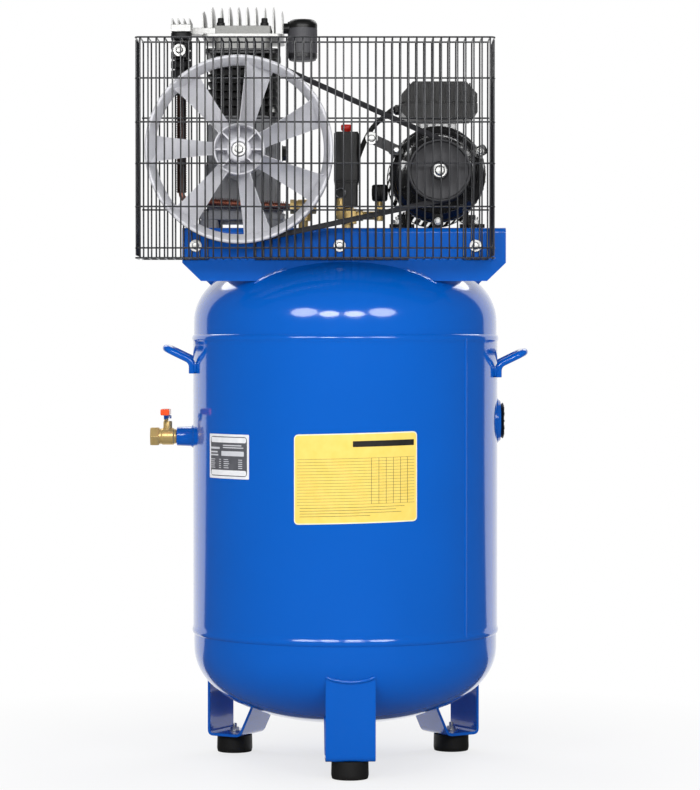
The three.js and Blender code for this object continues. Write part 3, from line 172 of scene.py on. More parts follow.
BLUE_COAT = powder_coat("blue_gloss_powder_coat", "#005abd", "#005dc3", 0.13)
BLACK_COAT = powder_coat("black_gloss_enamel", "#121213", "#18181a", 0.14, 0.08, 0.8)
WIRE_COAT = powder_coat("black_wire_dip_coat", "#232427", "#2c2d31", 0.3, 0.03, 0.3)
MATT_BLACK = powder_coat("matt_black_enamel", "#232325", "#2b2b2e", 0.42, 0.05, 0.1)
BLACK_IRON = cast_metal("black_heat_painted_cast_iron", "#0f0f10", "#1b1b1c", 0.1, 0.55, 1.2, 0.12)
GREY_IRON = cast_metal("grey_painted_cast_iron", "#8d8e91", "#a6a7aa", 0.2, 0.5, 1.4, 0.12)
BRIGHT_ALLOY = cast_metal("bare_die_cast_alloy", "#b4b4b2", "#cfcfcd", 0.6, 0.42, 1.0, 0.06)
# A darker copy of the head's bare alloy: painted shade under the slab and between the fins
SHADED_CORE_ALLOY = cast_metal("head_core_painted_shade", "#8a8a88", "#a2a29f", 0.4, 0.5, 1.2, 0.1)
WHEEL_ALLOY = cast_metal("silver_painted_cast_alloy", "#d6d6dc", "#e6e6eb", 0.1, 0.38, 1.6, 0.05)
# A near-white copy of the wheel's alloy for the rim's front lip: its bright ring is a painted highlight
LIP_HIGHLIGHT_ALLOY = cast_metal("wheel_lip_painted_highlight", "#f0f0f3", "#fbfbfd", 0.1, 0.3, 1.2, 0.03)
ZINC = worked_metal("zinc_plated_steel", "#cbcbc9", "#f0f0ee", 0.4, 0.8, (1, 1, 1))
STEEL = worked_metal("ground_steel", "#97979b", "#b9b9bd", 0.28, 0.5, (1, 4, 1))
BRASS = cast_metal("blasted_forged_brass", "#d8b468", "#f0d494", 0.55, 0.34, 0.8, 0.03)
COPPER = worked_metal("rolled_copper_fins", "#8a5142", "#b87460", 0.36, 0.6, (1, 1, 3))
SCORCHED_COPPER = worked_metal("heat_browned_copper_fins", "#40302b", "#6b4a3f", 0.45, 0.6, (1, 1, 3))
CHROME = worked_metal("chromed_steel", "#cfd1d4", "#e3e5e8", 0.12, 1.0, (1, 1, 1))
TURNED_BLACK = cast_metal("phosphated_turned_iron", "#2b2b2d", "#3a3a3d", 0.5, 0.42, 1.2, 0.04)
BELT_RUBBER = moulded("neoprene_belt_rubber", "#222225", "#303034", 0.6, 0.9, 0.1)
FOOT_RUBBER = moulded("moulded_foot_rubber", "#131313", "#1d1c1b", 0.55, 0.8, 0.08)
BLACK_ABS = moulded("black_moulded_abs", "#101010", "#181818", 0.38, 0.7, 0.05)
GREY_ABS = moulded("grey_moulded_abs", "#4b4b4f", "#59595d", 0.48, 0.8, 0.06)
RED_ABS = moulded("red_moulded_abs", "#d9231c", "#e8362b", 0.3, 0.9, 0.03, 0.3)
VINYL = moulded("orange_dipped_vinyl", "#ef4a12", "#ff5c1c", 0.28, 1.5, 0.05, 0.5)


# Shapes, in millimetres
def loft(rings, wrap=False, strips=False):
    """A skin through rings of points, capped at both ends, flat or with strips across, unless it wraps."""
    count, total = len(rings[0]), len(rings)
    faces = []
    for i in range(total if wrap else total - 1):
        a, b = i * count, (i + 1) % total * count
        faces += [(a + k, a + (k + 1) % count, b + (k + 1) % count, b + k) for k in range(count)]
    first, last = list(range(count))[::-1], list(range((total - 1) * count, total * count))
    if strips:
        for ring in (first[::-1], last[::-1]):
            faces += [(ring[k + 1], ring[k], ring[-1 - k], ring[-2 - k]) for k in range(count // 2 - 1)]
    elif not wrap:
        faces += [tuple(first), tuple(last)]
    return [Vector(point) for ring in rings for point in ring], faces


def turn(profile, segments=64):
    """[radius, height] points turned about Z. A profile that ends where it starts closes on itself."""
    closed = tuple(profile[0]) == tuple(profile[-1])
    points, rows, verts, faces = (profile[:-1] if closed else profile), [], [], []
    for radius, height in points:
        if radius < 1e-6:
            rows.append([len(verts)] * segments)
            verts.append(Vector((0, 0, height)))
        else:
            rows.append(range(len(verts), len(verts) + segments))
            verts += [Vector((x, y, height)) for x, y in circle(radius, segments)]
    for low, high in zip(rows, rows[1:] + (rows[:1] if closed else [])):
        for k in range(segments):
            face = dict.fromkeys((low[k], low[(k + 1) % segments], high[(k + 1) % segments], high[k]))
            if len(face) > 2:
                faces.append(tuple(face))
    return verts, faces


def arc(x, y, radius, start, end, steps):
    """Points on a circle about (x, y), from one angle to the other."""
    angles = [start + (end - start) * k / steps for k in range(steps + 1)]
    return [(x + radius * math.cos(a), y + radius * math.sin(a)) for a in angles]


def circle(radius, count, x=0, y=0):
    """Evenly spaced points all round a circle."""
    return arc(x, y, radius, 0, math.tau, count)[:-1]


def solid(profile, segments=32):
    """A turned solid, closed flat at both ends of its profile."""
    return turn([(0, profile[0][1]), *profile, (0, profile[-1][1])], segments)


def rod(radius, low, high, segments=32):
    """A plain cylinder between two heights."""
    return solid([(radius, low), (radius, high)], segments)


def soften(points, radius, steps=3, closed=False):
    """A line of points whose corners are rounded off by that radius."""
    points = [Vector(p) for p in points]
    count, out = len(points), []
    for i, corner in enumerate(points):
        before, after = points[i - 1] - corner, points[(i + 1) % count] - corner
        if (not closed and i in (0, count - 1)) or before.length < 1e-6 or after.length < 1e-6 \
                or before.angle(after) > NEARLY_STRAIGHT:
            out.append(corner)
            continue
        reach = min(radius, before.length * 0.49, after.length * 0.49)
        start, end = corner + before.normalized() * reach, corner + after.normalized() * reach
        for t in (k / steps for k in range(steps + 1)):
            out.append(start * (1 - t) ** 2 + corner * 2 * t * (1 - t) + end * t ** 2)
    return out


def mirrored(half, axis):
    """Half an outline, then its mirror image on that axis from the far end back."""
    return [*half, *[tuple(-v if i == axis else v for i, v in enumerate(p)) for p in reversed(half)]]


def prism(points, low, high):
    """A flat outline in XY, given a thickness along Z."""
    return loft([[(p[0], p[1], z) for p in points] for z in (low, high)])


def block(x, y, z):
    """A box between the two values given for each axis."""
    return prism([(x[0], y[0]), (x[1], y[0]), (x[1], y[1]), (x[0], y[1])], *z)


def rounded(half_x, half_y, corner, steps=4):
    """A rectangle's outline with round corners."""
    corners = [(half_x, -half_y), (half_x, half_y), (-half_x, half_y), (-half_x, -half_y)]
    return soften(corners, corner, steps, True)


def tube(points, radius, sides=10, closed=False, flat=1.0):
    """A round bar along points, with one radius or a list of them. flat narrows it across, for strips."""
    points = [Vector(p) for p in points]
    count, rings = len(points), []
    ahead = [(points[(i + 1) % count] if closed or i + 1 < count else points[i])
             - (points[i - 1] if closed or i else points[i]) for i in range(count)]
    side = ahead[0].orthogonal().normalized()
    radii = radius if isinstance(radius, list) else [radius] * count
    for point, direction, r in zip(points, ahead, radii):
        along = direction.normalized()
        side = (side - along * side.dot(along)).normalized()
        up = along.cross(side)
        rings.append([point + (side * c + up * s * flat) * r for c, s in circle(1, sides)])
    return loft(rings, wrap=closed)


def curve(points, steps=8):
    """Points on a smooth line through the given ones."""
    points = [Vector(p) for p in points]
    ends = [points[0] * 2 - points[1], *points, points[-1] * 2 - points[-2]]
    out = []
    for a, b, c, d in zip(ends, ends[1:], ends[2:], ends[3:]):
        for t in (k / steps for k in range(steps)):
            out.append(0.5 * (2 * b + (c - a) * t + (2 * a - 5 * b + 4 * c - d) * t ** 2
                              + (3 * b - a - 3 * c + d) * t ** 3))
    return out + [points[-1]]


NEARLY_STRAIGHT = math.radians(172)  # a wider bend than this is left as it is
QUARTER = math.pi / 2
TOWARDS = {"up": Matrix(), "down": Matrix.Rotation(math.pi, 4, "X"),
           "front": Matrix.Rotation(QUARTER, 4, "X"), "back": Matrix.Rotation(-QUARTER, 4, "X"),
           "left": Matrix.Rotation(-QUARTER, 4, "Y"), "right": Matrix.Rotation(QUARTER, 4, "Y")}


def at(form, place=(0, 0, 0), towards="up", spin=0.0):
    """A form turned about its own Z, then faced that way, then put in its place."""
    move = Matrix.Translation(Vector(place)) @ TOWARDS[towards] @ Matrix.Rotation(spin, 4, "Z")
    return [move @ v for v in form[0]], form[1]


def spun(form, angle, axis="Z"):
    """A form turned about an axis through the origin."""
    move = Matrix.Rotation(angle, 4, axis)
    return [move @ v for v in form[0]], form[1]


def around(form, count, offset=0.0):
    """Copies of a form spaced evenly about Z."""
    return [spun(form, math.tau * (i + offset) / count) for i in range(count)]


def hexagon(flats, low, high, chamfer=0.8):
    """A hexagon bar with its far end chamfered."""
    outer = flats / math.sqrt(3)
    return solid([(outer, low), (outer, high - chamfer), (outer - chamfer * 1.4, high)], 6)


def washer(radius, thickness):
    """A flat washer with its edges broken."""
    return solid([(radius - 0.3, 0), (radius, 0.3), (radius, thickness - 0.4), (radius - 0.5, thickness)],
                 40)


def put(name, forms, material, body="frame", replaces=(), place=(0, 0, 0), towards="up",
        bevel=0.0, sharp=32):
    """Makes one piece of one or more forms given in the tank's millimetres, all moved to that place."""
    verts, faces = [], []
    for form_verts, form_faces in (at(form, place, towards) for form in forms):
        faces += [tuple(len(verts) + i for i in face) for face in form_faces]
        verts += [(v + AXIS / MM) * MM for v in form_verts]
    mesh = bpy.data.meshes.new(name)
    mesh.from_pydata(verts, [], faces)
    mesh.materials.append(material)
    piece = bpy.data.objects.new(name, mesh)
    bpy.context.collection.objects.link(piece)
    bpy.context.view_layer.objects.active = piece
    mesh.validate()
    mesh.shade_smooth()
    if bevel:
        edge = piece.modifiers.new("rounded edges", "BEVEL")
        edge.width, edge.segments, edge.limit_method = bevel * MM, 2, "ANGLE"
        edge.angle_limit = math.radians(sharp)
        edge.harden_normals = True
    else:
        mesh.set_sharp_from_angle(angle=math.radians(sharp))
    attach(piece, body)
    if replaces:
        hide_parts(*((replaces,) if isinstance(replaces, str) else replaces))
    return piece


# Air receiver
TANK_RADIUS, HEAD_RADIUS = 260, 258.5
LOWER_SEAM, UPPER_SEAM = 225, 722
HEAD_SKIRT, HEAD_RISE, LOW_HEAD_RISE = 25, 130, 133
HEAD_FULLNESS = 2.2  # the power of the heads' superellipse; an ellipse has 2
BEAD_HALF, BEAD_HEIGHT = 6, 1.6  # a weld bead's half width and height
LONG_SEAM = math.radians(-90 + 50)  # the shell's own weld, to the right of the front
OUTLET_Z, PORT_Z = 554, 581
HEAD_FOOT = UPPER_SEAM + HEAD_SKIRT
DRAIN_Z = LOWER_SEAM - HEAD_SKIRT - LOW_HEAD_RISE


def dome(rise, steps=28):
    """A head's outside, from its skirt to the pole, measured from the seam."""
    power = 2 / HEAD_FULLNESS
    return [(HEAD_RADIUS * math.cos(QUARTER * i / steps) ** power if i < steps else 0,
             HEAD_SKIRT + rise * math.sin(QUARTER * i / steps) ** power) for i in range(steps + 1)]


def bulge(radius, rise):
    """How far a head stands out past its skirt at that distance from the axis."""
    return rise * max(0.0, 1 - (radius / HEAD_RADIUS) ** HEAD_FULLNESS) ** (1 / HEAD_FULLNESS)


def bead(seam, up):
    """A weld bead at a seam: the shell steps in to the head across a low round ridge."""
    shares = ((-1, 0), (-0.7, 0.55), (-0.25, 1), (0.25, 0.9), (0.7, 0.25))
    ridge = [(TANK_RADIUS + BEAD_HEIGHT * high, seam + up * BEAD_HALF * along) for along, high in shares]
    return [*ridge, (HEAD_RADIUS, seam + up * BEAD_HALF)]


# Rings of points near the seams keep the shading of the tall wall straight
wall = [(TANK_RADIUS, z) for z in (LOWER_SEAM + 12, LOWER_SEAM + 16, UPPER_SEAM - 16, UPPER_SEAM - 12)]
low_head = [(r, LOWER_SEAM - h) for r, h in reversed(dome(LOW_HEAD_RISE))]
high_head = [(r, UPPER_SEAM + h) for r, h in dome(HEAD_RISE)]
receiver = turn([*low_head, *reversed(bead(LOWER_SEAM, -1)), *wall, *bead(UPPER_SEAM, 1), *high_head], 160)
socket = turn([(0, -60), (24, -60), (24, -3), (20, 0.5), (17, 4),
               *soften([(16, 5), (16, 28), (10, 28)], 1.2)[1:], (10, 6), (0, 6)], 48)
port = solid([(41, -40), (39, 0), (36, 2.5), (34, 5), (24.4, 5), (24.4, 0)], 64)
long_bead = tube([((TANK_RADIUS - 0.6) * math.cos(LONG_SEAM), (TANK_RADIUS - 0.6) * math.sin(LONG_SEAM), z)
                  for z in (LOWER_SEAM, (LOWER_SEAM + UPPER_SEAM) / 2, UPPER_SEAM)], 2.6, 12)
drain_boss = solid([(24, -6), (22, 1), (19, 3)], 40)
put("receiver",
    [receiver, at(socket, (-TANK_RADIUS, 0, OUTLET_Z), "left"), at(port, (TANK_RADIUS, 0, PORT_Z), "right"),
     long_bead, at(drain_boss, (0, 0, DRAIN_Z + 3), "down")], BLUE_COAT, sharp=40,
    replaces=("tank_shell", "tank_top_head", "tank_bottom_head"))
put("drain_tap", [hexagon(26, 0.3, 14, 1.2), solid([(6.5, 13), (6.5, 17), (5.2, 18)])], BRASS,
    replaces="drain_plug", place=(0, 0, DRAIN_Z), towards="down")

# Inspection plug: a black flanged plug with grips round its face and a shallow recess
plug_edge = soften([(30.5, 0.4), (30.5, 5), (15, 5)], 1.4, 4)[1:]
plug = solid([(23.4, -11), (23.4, 0.4), (28, 0.4), *plug_edge, (14, 3.4)], 64)
put("inspection_cap", [plug, *around(block((17, 27), (-1.2, 1.2), (4.6, 6.2)), 12)], BLACK_ABS,
    replaces="inspection_plug", place=(265.3, 0, PORT_Z), towards="right", bevel=0.3)

# Carrying handles: a bent round bar welded to the shell by its two feet
HANDLE_X, HANDLE_OUT, HANDLE_HALF = 258.6, 304, 60
for side, name, foot_z in ((-1, "left", 662), (1, "right", 655.5)):
    line = soften([(side * x, y * HANDLE_HALF, foot_z + rise) for x, y, rise in (
        (HANDLE_X, -1, 0), (HANDLE_X, -1, 21), (HANDLE_OUT, -1, 43), (HANDLE_OUT, 1, 43), (HANDLE_X, 1, 21),
        (HANDLE_X, 1, 0))], 22, 7)
    welds = [tube([(side * (HANDLE_X - 5.6), y + d, foot_z + rise) for rise in (2, 9, 19)], [2.2, 3.0, 1.6])
             for y in (-HANDLE_HALF, HANDLE_HALF) for d in (-4.5, 4.5)]
    put(f"handle_bar_{name}", [tube(line, 6.1, 20), *welds], BLUE_COAT,
        replaces=f"handle_{name}", bevel=0.7, sharp=50)

# Legs: one strap bent twice, its two ends cut to the bottom head and welded there
LEG_OUTER, LEG_INNER, LEG_WIDTH, LEG_PLATE = 250, 189, 82, 5
FOOT_TOP, FOOT_RADIUS, LEG_TURN = 30, 219, math.radians(2)
LEG_SLOPE, INNER_RUN = math.tan(math.radians(61)), 60
LEG_FLOOR = FOOT_TOP + LEG_PLATE / 2  # the height of the strap's middle line over the foot


def dome_height(radius):
    """How high the bottom head's outside is at that distance from the axis."""
    return LOWER_SEAM - HEAD_SKIRT - bulge(radius, LOW_HEAD_RISE)


def strap(line, width, thick, columns=8):
    """A strap along a line in (radius, height). Both its ends climb to meet the dome across its width."""
    rings = []
    for i, (r, z) in enumerate(line):
        along = (Vector(line[min(i + 1, len(line) - 1)]) - Vector(line[max(i - 1, 0)])).normalized()
        out = Vector((along.y, -along.x)) * thick / 2
        outer, inner = [], []
        for side, edge in ((1, outer), (-1, inner)):
            for x in (width * (k / columns - 0.5) for k in range(columns + 1)):
                radius, height = r + out.x * side, z + out.y * side
                if i in (0, len(line) - 1):
                    height = dome_height(min(math.hypot(radius, x), HEAD_RADIUS - 1)) + 1.5
                edge.append((x, -radius, height))
        rings.append(outer + inner[::-1])
    return loft(rings, strips=True)


outer_r, inner_r = LEG_OUTER - LEG_PLATE / 2, LEG_INNER - LEG_PLATE / 2
cut_r = next(r for r in range(LEG_INNER, 0, -1) if LEG_FLOOR + (LEG_INNER - r) * LEG_SLOPE > dome_height(r))
leg_line = soften([(outer_r, 168), (outer_r, LEG_FLOOR), (inner_r, LEG_FLOOR),
                   (inner_r - INNER_RUN, LEG_FLOOR + INNER_RUN * LEG_SLOPE)], 8, 5)
leg_forms = [strap([*[tuple(p) for p in leg_line[:-1]], (cut_r, dome_height(cut_r))], LEG_WIDTH, LEG_PLATE)]
for r in (LEG_OUTER + 0.8, cut_r - 4):  # the welds along both of its ends
    across = [(LEG_WIDTH * (k / 12 - 0.5), 0.7 * (k % 2) - 0.85) for k in range(13)]
    leg_forms.append(tube([(x, -r, dome_height(math.hypot(r, x)) + rise) for x, rise in across],
                          [2.2, *([3.0, 2.7] * 6)]))
foot = solid([*soften([(29.6, 0), (31, 6), (30.4, 29.7)], 1.5, 3), (26, 29.7)], 56)
foot_bolt = [rod(11, 0, 1.8), hexagon(13, 1.8, 8), solid([(4, 8), (4, 13), (3.4, 14)], 20)]
for i, name in enumerate(("front", "right", "left")):
    turned_by = LEG_TURN + math.tau * i / 3
    put(f"leg_strap_{name}", [spun(f, turned_by) for f in leg_forms], BLUE_COAT,
        replaces=f"leg_{name}", bevel=0.9, sharp=50)
    put(f"rubber_foot_{name}", [spun(at(foot, (0, -FOOT_RADIUS, 0)), turned_by)], FOOT_RUBBER,
        replaces=f"foot_{name}", bevel=0.8)
    put(f"foot_bolt_{name}",
        [spun(at(f, (0, -FOOT_RADIUS, FOOT_TOP + LEG_PLATE)), turned_by) for f in foot_bolt], ZINC)

# Outlet valve
VALVE_X = -288.3
STEM_X = VALVE_X - 15.5
valve_line = [(11, 0), (12.5, 1.5), (12.5, 4), (14.5, 6), (14.5, 24), (13.2, 26), (13.2, 31)]
nut_line = [(7.9, 30), (16.6, 30), (17.3, 31.5), (17.3, 43.5), (16.4, 45), (7.9, 45), (7.9, 30)]
stem_line = [(9, 0), (9, 12), (7.6, 13.6), (7.6, 24), (7, 26.2), (3.9, 26.2), (3.9, 20)]
put("ball_valve", [at(solid(valve_line, 48), (VALVE_X, 0, OUTLET_Z), "left"),
                   at(turn(nut_line, 6), (VALVE_X, 0, OUTLET_Z), "left", math.pi / 6),
                   at(solid(stem_line), (STEM_X, 0, OUTLET_Z)),
                   at(rod(7.9, 0, 1), (VALVE_X - 26, 0, OUTLET_Z), "left")], BRASS,
    replaces="valve_body", bevel=0.5, sharp=28)
bare = soften([(0, 11, 2), (0, -10, 2), (0, -16, 4), (0, -24, 14.5), (0, -30, 16), (0, -76, 16)], 5, 3)
put("lever_strap", [tube(bare, 7.2, 4, flat=0.3), hexagon(11, 3.6, 9.5),
                    solid([(3, 9), (3, 12), (2.4, 12.8)], 20)], CHROME, "valve_lever",
    replaces="valve_lever", place=(STEM_X, 0, 581), bevel=0.4)
put("lever_grip", [at(prism(rounded(7.6, 5.4, 2.6, 5), 0, 52), (0, -29, 16), "front")], VINYL,
    "valve_lever", place=(STEM_X, 0, 581), bevel=1.6, sharp=60)

# Mounting deck
DECK_LEFT, DECK_RIGHT, DECK_HALF = -269, 265, 176
DECK_TOP, APRON_BOTTOM, DECK_BEND, SHEET = 904, 816, 8, 4
BAR_PITCH, FIRST_BAR, BAR_COUNT = 13.19, -332.5, 44
DECK_SHOULDER = DECK_TOP - DECK_BEND


def bar_x(i):
    """Where bar i of the belt guard is. A half stands for the middle of the gap after a bar."""
    return FIRST_BAR + i * BAR_PITCH


def apron(y_out, y_in):
    """One deep flange: its lower corners are cut off, and it dips to the dome between them."""
    cut, steps = 31, 40
    spread = [DECK_LEFT + cut + (DECK_RIGHT - DECK_LEFT - 2 * cut) * k / steps for k in range(steps + 1)]
    bottom = [(x, max(APRON_BOTTOM, HEAD_FOOT + bulge(math.hypot(x, DECK_HALF), HEAD_RISE))) for x in spread]
    verts, faces = prism([(DECK_LEFT, DECK_SHOULDER), (DECK_LEFT, APRON_BOTTOM + 30), *bottom,
                          (DECK_RIGHT, APRON_BOTTOM + 30), (DECK_RIGHT, DECK_SHOULDER)], 0, 1)
    return [Vector((v.x, y_in if v.z else y_out, v.y)) for v in verts], faces


deck_line = [(-DECK_HALF, DECK_SHOULDER),
             *arc(DECK_BEND - DECK_HALF, DECK_SHOULDER, DECK_BEND, math.radians(165), QUARTER, 5)]
deck_line = mirrored(deck_line, 0)
under = [(y * (DECK_HALF - SHEET) / DECK_HALF if abs(y) > DECK_HALF - DECK_BEND else y,
          z - SHEET if abs(y) < DECK_HALF - 0.1 else z) for y, z in reversed(deck_line)]
deck_verts, deck_faces = prism([*deck_line, *under], DECK_LEFT, DECK_RIGHT)
deck_sheet = ([Vector((v.z, v.x, v.y)) for v in deck_verts], deck_faces)
put("deck_plate", [deck_sheet, *[apron(side * DECK_HALF, side * (DECK_HALF - SHEET)) for side in (-1, 1)]],
    BLUE_COAT, replaces="mounting_deck", bevel=0.6, sharp=40)
arch_welds = []
for side in (-1, 1):
    rises = [(x, HEAD_FOOT + bulge(math.hypot(x, DECK_HALF), HEAD_RISE) - 0.6 + 0.9 * (k % 2))
             for k, x in enumerate(range(96, 151, 6))]
    arch_welds.append(tube([(side * x, -DECK_HALF - 0.4, z) for x, z in rises],
                           [1.4, *([2.8, 2.2] * 4), 1.4]))
put("deck_welds", arch_welds, BLUE_COAT)

# Belt guard
WIRE, CORNER = 1.4, 7
RAIL = WIRE * 2 - 0.4  # how far a rail lies off the bars, so that the wires just sink into each other
GUARD_FRONT, GUARD_REAR = -262, -177.7
GUARD_TOP, GUARD_BOTTOM, OPENING_TOP = 1209, 852, 1084
OPENINGS = (*range(9, 14), *range(34, 40))  # the bars that stop over the drive's two openings at the rear
SIDE_REACH, SIDE_COUNT = 7.6, 7  # from the end bars out to the side nets, and the bars in each of those
wires = []
for i in range(BAR_COUNT):
    x, full = bar_x(i), i not in OPENINGS
    bar = [(x, GUARD_REAR, GUARD_BOTTOM if full else OPENING_TOP), (x, GUARD_REAR, GUARD_TOP),
           (x, GUARD_FRONT, GUARD_TOP), (x, GUARD_FRONT, GUARD_BOTTOM)]
    bar += [] if full else [(x, GUARD_REAR - 1, GUARD_BOTTOM)]
    wires.append(tube(soften(bar, CORNER, 4, full), WIRE, 8, full))
side_left, side_right = bar_x(0) - SIDE_REACH, bar_x(BAR_COUNT - 1) + SIDE_REACH
for z in (GUARD_TOP, 1143, 1072, 1005, 935, 868, GUARD_BOTTOM):
    y = GUARD_FRONT + (RAIL if z < GUARD_TOP else 0.2)
    rail = [(side_left, GUARD_REAR, z), (side_left, y, z), (side_right, y, z), (side_right, GUARD_REAR, z)]
    wires.append(tube(soften(rail, CORNER, 4), WIRE, 8))
whole, parted = [(0, 43)], [(0, 8), (14, 33), (40, 43)]
for z, spans in ((GUARD_TOP, whole), (OPENING_TOP, whole), (933, parted), (GUARD_BOTTOM, parted)):
    for a, b in spans:
        wires.append(tube([(x, GUARD_REAR - RAIL, z) for x in (bar_x(a) - 2.2, bar_x(b) + 2.2)], WIRE, 8))
for x in (side_left + 1.2, side_right - 1.2):
    for k in range(SIDE_COUNT):
        y = GUARD_FRONT + 6 + (GUARD_REAR - GUARD_FRONT - 11) * k / (SIDE_COUNT - 1)
        wires.append(tube([(x, y, 856), (x, y, 1205)], WIRE, 8))
put("guard_wires", wires, WIRE_COAT, sharp=50, replaces=[f"guard_{net}" for net in (
    "front_grille", "rear_top", "rear_left", "rear_middle", "rear_right", "top_return", "bottom_return",
    "left_return", "right_return")])


def clamp(x, z, radius):
    """A screw with a wide washer that clamps the rear net at that place."""
    head = turn([(0, 1.8), (6.2, 1.8), (6.0, 3.4), (4.6, 5.2), (0, 5.8)], 32)
    return [at(f, (x, GUARD_REAR - 1.7, z), "front") for f in (washer(radius, 1.8), head, rod(3, -12, 0, 16))]


for name, i in (("left", 6), ("centre", 24), ("right", 41)):
    put(f"net_screw_{name}", clamp(bar_x(i + 0.5), 874, 10.2), ZINC, replaces=f"guard_bolt_{name}",
        bevel=0.3)

# Stays from the guard to the motor's lug and to the cooler stack
MOTOR_X, MOTOR_Z, LUG_REACH = 154, 995, 79
LUG_ANGLES = [math.radians(a) for a in (28, 152, 270)]
lug_x, lug_z = MOTOR_X + LUG_REACH * math.cos(LUG_ANGLES[1]), MOTOR_Z + LUG_REACH * math.sin(LUG_ANGLES[1])
screw_x, screw_z = bar_x(28.5), 1051
link = prism(rounded(math.hypot(lug_x - screw_x, lug_z - screw_z) / 2 + 8.5, 8.5, 8.4, 6), 0, 3)
middle = ((lug_x + screw_x) / 2, GUARD_REAR + 4.7, (lug_z + screw_z) / 2)
put("motor_stay", [at(link, middle, "front", math.atan2(lug_z - screw_z, lug_x - screw_x)),
                   at(rod(8, 0, 30.6, 28), (lug_x, -142.2, lug_z), "front")], MATT_BLACK,
    replaces="guard_stay_motor", bevel=0.5)
put("motor_stay_screws", [*clamp(screw_x, screw_z, 10.5),
                          at(hexagon(9, 0, 4), (lug_x, GUARD_REAR + 1.7, lug_z), "front")], ZINC,
    bevel=0.3)
put("cooler_stay", [block((-11, 11), (GUARD_REAR + 1.7, y), (1183, top)) for y, top in (
    (GUARD_REAR + 4.7, 1209), (-137.8, 1186))], MATT_BLACK, replaces="guard_stay_pump",
    place=(bar_x(4.5), 0, 0), bevel=0.8)
put("cooler_stay_screw", clamp(bar_x(4.5), 1196, 10.5), ZINC, bevel=0.3)

# Drive
DRIVE_X, DRIVE_Y, DRIVE_Z = DRIVE = (-173, -220, 1029.3)
WHEEL_RADIUS, WHEEL_HALF, RIM_INNER = 153.5, 25, 138
BLADE_ROOT, BLADE_TIP, BLADE_HALF, BLADES = 39, 142.5, 29, 7
rim_line = mirrored([(RIM_INNER, -9), (148, -24), (148.6, -WHEEL_HALF), (WHEEL_RADIUS - 1.2, -WHEEL_HALF),
                     (WHEEL_RADIUS, -23), (WHEEL_RADIUS, -7), (WHEEL_RADIUS - 8.9, -5)], 1)
rim = turn([(RIM_INNER, 0), *soften(rim_line, 1.2, 2), (RIM_INNER, 0)], 144)
lip_line = [(148.3, -23.6), (148.5, -25), (149.3, -25.3), (151.9, -25.3), (152.9, -24.9), (153.3, -23.6),
            (148.3, -23.6)]
hub_line = [(39, -25), (42, -24), (42, 24), (41, 25), (39, 25), (38, -18), (21, -19), (20, 17), (17.5, 19),
            (12.8, 19)]
hub = turn([(12.8, -25), *soften(hub_line, 1.0, 2), (12.8, -25)], 72)
ribs = around(block((18.5, 39.4), (-1.2, 1.2), (-20, 17)), 8)


def blade(angle):
    """A fan blade: a cambered plate that twists from the hub out and widens into the rim."""
    spans, chords, rings = 12, 12, []
    for share in (i / spans for i in range(spans + 1)):
        radius = BLADE_ROOT + (BLADE_TIP - BLADE_ROOT) * share
        pitch = math.radians(62 + (40 - 62) * share) - QUARTER
        flare = 0.76 + 0.24 * share + 0.1 * max(0, share - 0.88) / 0.12 + 0.08 * max(0, 0.12 - share) / 0.12
        upper, under = [], []
        for side, edge in ((1, upper), (-1, under)):
            for across in (2 * k / chords - 1 for k in range(chords + 1)):
                y, camber = across * BLADE_HALF * flare, 1 - across ** 2
                z = 5.5 * camber + side * (0.7 + 1.4 * camber) - 2.5
                edge.append((radius, y * math.cos(pitch) - z * math.sin(pitch),
                             y * math.sin(pitch) + z * math.cos(pitch)))
        rings.append(upper + under[::-1])
    return spun(loft(rings, strips=True), -angle, "Y")


put("fan_flywheel", [*[at(f, towards="front") for f in (rim, hub, *ribs)],
                     *[blade(math.pi + math.tau * i / BLADES) for i in range(BLADES)]], WHEEL_ALLOY,
    "flywheel", replaces="flywheel", place=DRIVE, sharp=38)
# The rim's front lip, lifted to near white: a painted highlight ring
put("wheel_front_lip", [turn(lip_line, 144)], LIP_HIGHLIGHT_ALLOY, "flywheel", place=DRIVE,
    towards="front", sharp=60)
put("crank_bolt", [washer(11, 1.8), spun(hexagon(13, 1.8, 7.4, 1.2), 0.3)], ZINC, "flywheel",
    replaces="flywheel_bolt", place=(DRIVE_X, -239.3, DRIVE_Z), towards="front")
put("crank_stub", [solid([(12.4, 0), (12.4, 132), (11.6, 133)], 40)], STEEL, "flywheel",
    replaces="crankshaft", place=(DRIVE_X, -105.9, DRIVE_Z), towards="front")

pulley_line = [(22, -26), (22, -12), (44, -12), (51, -12), (51, -7), (42.1, -5), (42.1, 5), (51, 7), (51, 12),
               (47.5, 12), (46.5, 9.6), (15, 9.6), (14, 12), (12.2, 12)]
pulley_line = [(12.2, -26), *soften(pulley_line, 0.9, 2), (12.2, -26)]
put("drive_pulley", [turn(pulley_line, 96)], TURNED_BLACK, "motor_rotor",
    replaces="motor_pulley", place=(MOTOR_X, DRIVE_Y, MOTOR_Z), towards="front", sharp=28)
put("pulley_screw", [washer(11.5, 1.8), turn([(0, 1.8), (8.6, 1.8), (8.4, 5), (6.5, 7.6), (0, 8.4)], 40)],
    ZINC, "motor_rotor", replaces="pulley_bolt", place=(MOTOR_X, -232.3, MOTOR_Z), towards="front",
    bevel=0.3)
put("rotor_stub", [rod(11.9, 0, 112, 36)], STEEL, "motor_rotor", replaces="motor_shaft",
    place=(MOTOR_X, -118.9, MOTOR_Z), towards="front")

